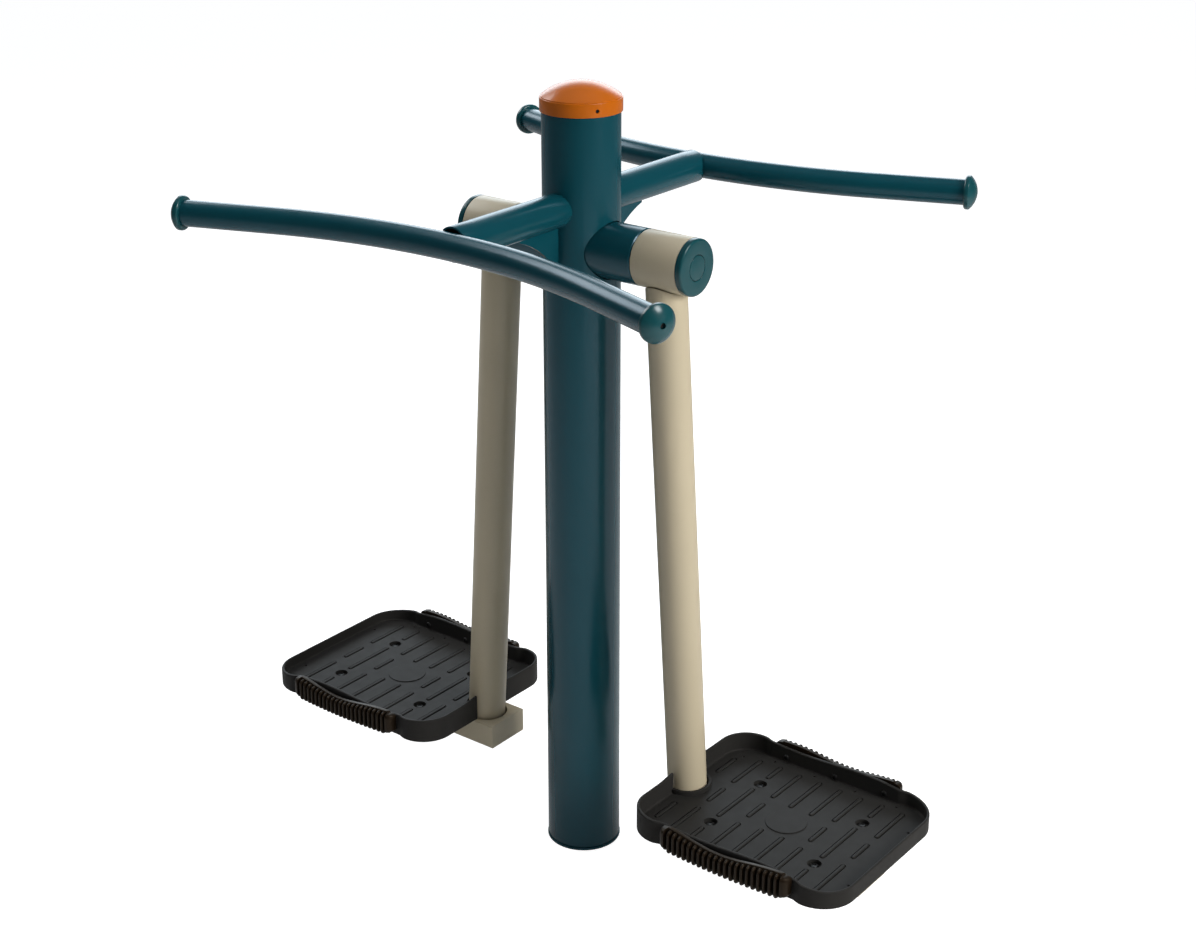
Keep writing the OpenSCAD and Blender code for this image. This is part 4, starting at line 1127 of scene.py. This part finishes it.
places = [(a.origin - a.w * 1.6, a.w) for a in screw_axes]
screw_set("cap_screw_set", "frame", places, (2.7, 1.0, 1.6, 9.0), "cap_screws")
places = [(a.origin + a.w * GRIP_HOLE_Z, a.w) for a in end_axes]
screw_set("grip_screw_set", "frame", places, (3.6, 2.2, 2.1, 20.0), "handle_cap_screws")
for side_name, side in SIDES.items():
    body = side_name + "_swing"
    places = [((x * side, y, RECESS_Z), (0, 0, 1)) for x in BOLT_X for y in (-BOLT_Y, BOLT_Y)]
    screw_set("tray_bolt_set_" + side_name, body, places, (7.0, 4.4, 4.0, 17.5),
              "tray_bolts_" + side_name)
    places = []
    for face in FACES.values():
        for step in (-1, 0, 1):
            x = (BUMPER_X + WALL_BOLT_STEP * step) * side
            places.append(((x, WALL_BOLT_Y * face, WALL_BOLT_Z[abs(step)]), (0, -face, 0)))
    screw_set("wall_bolt_set_" + side_name, body, places, (5.25, 3.3, 3.0, 9.8),
              "bumper_bolts_" + side_name)
print("screws placed")

# %% [markdown]
# The bumpers are rubber mouldings bolted to the tray's long walls, where the feet rest when people
# step on. Each has a bowed backing strip with a smooth round block at each end and a row of thin
# upright fins between them. The strip's top dips beside its middle, and every fin has a full round
# edge, because rubber flows well in the mould and leaves it easily round such an edge.

# %% Bumpers
FIN_T = 5.0
END_ROUND = 9.0
FIN_H = 38.6
FIN_FOOT = 4.5
FIN_ROUND = 6.6
BACKING = 6.0
BLOCK_FROM = 98.0
BLOCK_ROUND = 6.8


def backing_part(dip_at):
    """A strip that is thin behind the fins and full at the ends, with its dip at dip_at."""
    half = BUMPER_LEN / 2
    ends = [-110.0, -109.7, -109.0, -108.0, -106.5, -104.5, -102.0, -100.2, -99.4, -99.0, -98.7,
            -98.4, -98.0]
    stations = ends + list(np.linspace(-94, 94, 41)) + [-s for s in reversed(ends)]
    rings = []
    for s in stations:
        near = 1 - (s / half) ** 2
        thick = ease(min(1.0, max(0.0, (abs(s) - BLOCK_FROM) / 1.4)))
        tip = max(0.0, abs(s) - (half - END_ROUND))
        in_by = END_ROUND - sqrt(END_ROUND ** 2 - tip ** 2)
        dip = max(0.0, 1 - ((s - dip_at) / half) ** 2) ** 3
        lip = min(1.0, max(0.0, (abs(s) - BLOCK_FROM) / 2.0))
        top = BUMPER_H - BUMPER_DIP * dip - in_by * 0.5 - 2.0 * lip
        low = in_by * 0.6 + 5.5 * lip
        depth = BACKING + (BUMPER_DEPTH - BACKING) * thick - in_by
        big = 1.1 if abs(s) < BLOCK_FROM else min(BLOCK_ROUND, depth * 0.62)
        ring = rounded([(0, low, 0.6), (depth, low, big), (depth, top, big), (0, top, 0.6)], 6)
        rings.append([(s, BUMPER_BOW * near + d, z) for d, z in ring])
    return loft(rings)


def boss_part():
    axis = Axis((0, 0, FLOOR_Z + 5.5 - BUMPER_Z), (0, 1, 0))
    return bar_part(axis, 7.0, 0.0, BUMPER_BOW + 2, 40)


def fin_part():
    """One fin, half round across its thickness."""
    rings = []
    for k in range(9):
        a = pi * k / 8
        inset = FIN_T / 2 * (1 - sin(a))
        outer = BUMPER_DEPTH - inset
        low = 0.6 + inset
        top = FIN_H - inset
        ring = rounded([(FIN_FOOT, low, 0.4), (outer, low, FIN_ROUND),
                        (outer, top, FIN_ROUND), (FIN_FOOT, top, 0.4)], 8)
        rings.append([(-FIN_T / 2 * cos(a), d, z) for d, z in ring])
    return loft(rings)


for side_name, side in SIDES.items():
    for face_name, face in FACES.items():
        name = face_name + "_" + side_name
        fin = build("fin_pattern", [fin_part()], 40)
        bumper = build("bumper_moulding_" + name, [backing_part(DIP_AT * side * face), boss_part()], 40)
        run_tree(bumper, FIN_ROW, {
            "Fin": fin, "Count": FINS, "Pitch": FIN_PITCH * MM, "Half Length": BUMPER_LEN / 2 * MM,
            "Bow": BUMPER_BOW * MM, "Dip Share": BUMPER_DIP / BUMPER_H,
            "Dip Middle": DIP_AT * side * face * MM, "Finish": RUBBER})
        drop(fin)
        seat = Matrix.Translation(Vector((BUMPER_X, BUMPER_Y, BUMPER_Z)) * MM)
        bumper.data.transform(Matrix.Diagonal((side, face, 1, 1)) @ seat)
        if side * face < 0:
            bumper.data.flip_normals()
        soften(bumper, 40)
        dress(bumper, "black_rubber", side_name + "_swing", "bumper_" + name)
print("fins", FINS, "pitch", round(FIN_PITCH, 2))

# %% [markdown]
# The studio is plain and soft. Wide lamps above, at the right and in front light the object, but
# stay out of its gloss. The lamp at the left also draws the light stripe along the handlebars. Two
# more are seen in gloss alone: a broad one far behind gives the tubes their rims, and a small one
# picks out the caps' edges. They count at their first reflection, so no stray sparks appear.
# The floor is pale. For the camera it is lifted to white, and it keeps a faint shadow.

# %% Studio
GLOSS_ONLY = ("edge", "backdrop")
LAMPS = (
    ("overhead", (-0.3, 0.4, 3.3), 0.8, (2.4, 2.2), 38, (0.97, 0.98, 1.0)),
    ("key_right", (3.6, 0.2, 1.9), 0.6, (2.0, 1.8), 132, (1.0, 0.98, 0.94)),
    ("front_left", (-1.4, -3.4, 1.5), 0.6, (2.0, 1.6), 8, (1, 1, 1)),
    ("front_right", (2.6, -2.4, 0.9), 0.6, (1.6, 1.4), 8, (1, 1, 1)),
    ("left", (-3.2, 0.1, 3.1), 1.0, (2.0, 1.6), 50, (0.95, 0.98, 1.0)),
    ("edge", (2.5, 0.1, 3.3), 1.0, (1.1, 1.1), 60, (1, 1, 1)),
    ("backdrop", (-3.6, 4.7, 2.9), 1.0, (5.0, 2.9), 120, (0.84, 0.94, 1.0)))

for name, place, aim_z, size, power, colour in LAMPS:
    data = bpy.data.lights.new(name, "AREA")
    data.shape = "RECTANGLE"
    data.size, data.size_y = size
    data.energy = power
    data.color = colour
    light = put(name, data)
    light.location = place
    aim = Vector((0, 0, aim_z)) - Vector(place)
    light.rotation_euler = aim.to_track_quat("-Z", "Y").to_euler()
    if name in GLOSS_ONLY:
        light.visible_diffuse = False
        data.cycles.max_bounces = 1
    elif name != "left":
        light.visible_glossy = False

BRIGHT_SIDE = (-0.61, 0.79, -0.05)
world = bpy.data.worlds.new("studio")
bpy.context.scene.world = world
world.use_nodes = True
tree = world.node_tree
sky = node(tree, "ShaderNodeTexCoord")
dot = node(tree, "ShaderNodeVectorMath", {0: sky, 1: BRIGHT_SIDE}, operation="DOT_PRODUCT")
span = node(tree, "ShaderNodeMapRange", {
    "Value": dot.outputs["Value"], "From Min": -1.0, "From Max": 1.0})
shade = node(tree, "ShaderNodeValToRGB", {"Fac": span})
shade.color_ramp.elements[0].color = (0.03, 0.033, 0.036, 1)
shade.color_ramp.elements[1].position = 0.97
shade.color_ramp.elements[1].color = (0.8, 0.9, 1.0, 1)
shade.color_ramp.elements.new(0.82).color = (0.05, 0.055, 0.06, 1)
ray = node(tree, "ShaderNodeLightPath")
seen = node(tree, "ShaderNodeMix", {"Factor": ray, "A": shade, "B": (1, 1, 1, 1)},
            data_type="RGBA")
fill(tree, tree.nodes["Background"], {"Color": seen.outputs["Result"], "Strength": 1.0})

FLOOR_TO_CAMERA = 0.93
FLOOR_IN_GLOSS = 0.14
floor_mesh = bpy.data.meshes.new("floor")
rim_points = [(16 * cos(a), 16 * sin(a), 0) for a in circle(96)]
floor_mesh.from_pydata(rim_points, [], [tuple(range(96))])
floor = put("floor", floor_mesh)
paper = bpy.data.materials.new("paper")
paper.use_nodes = True
tree = paper.node_tree
shader = tree.nodes["Principled BSDF"]
fill(tree, shader, {
    "Base Color": (0.55, 0.55, 0.55, 1), "Roughness": 0.9, "Specular IOR Level": 0.1})
ray = node(tree, "ShaderNodeLightPath").outputs
mirrored_share = calc(tree, "MULTIPLY", ray["Is Glossy Ray"], FLOOR_IN_GLOSS)
seen_share = calc(tree, "MULTIPLY", ray["Is Camera Ray"], FLOOR_TO_CAMERA)
glow = node(tree, "ShaderNodeEmission", {
    "Color": (1, 1, 1, 1), "Strength": calc(tree, "ADD", mirrored_share, seen_share)})
both = node(tree, "ShaderNodeAddShader", {0: shader, 1: glow})
fill(tree, tree.nodes["Material Output"], {"Surface": both})
floor_mesh.materials.append(paper)

bpy.context.scene.view_settings.view_transform = "Standard"
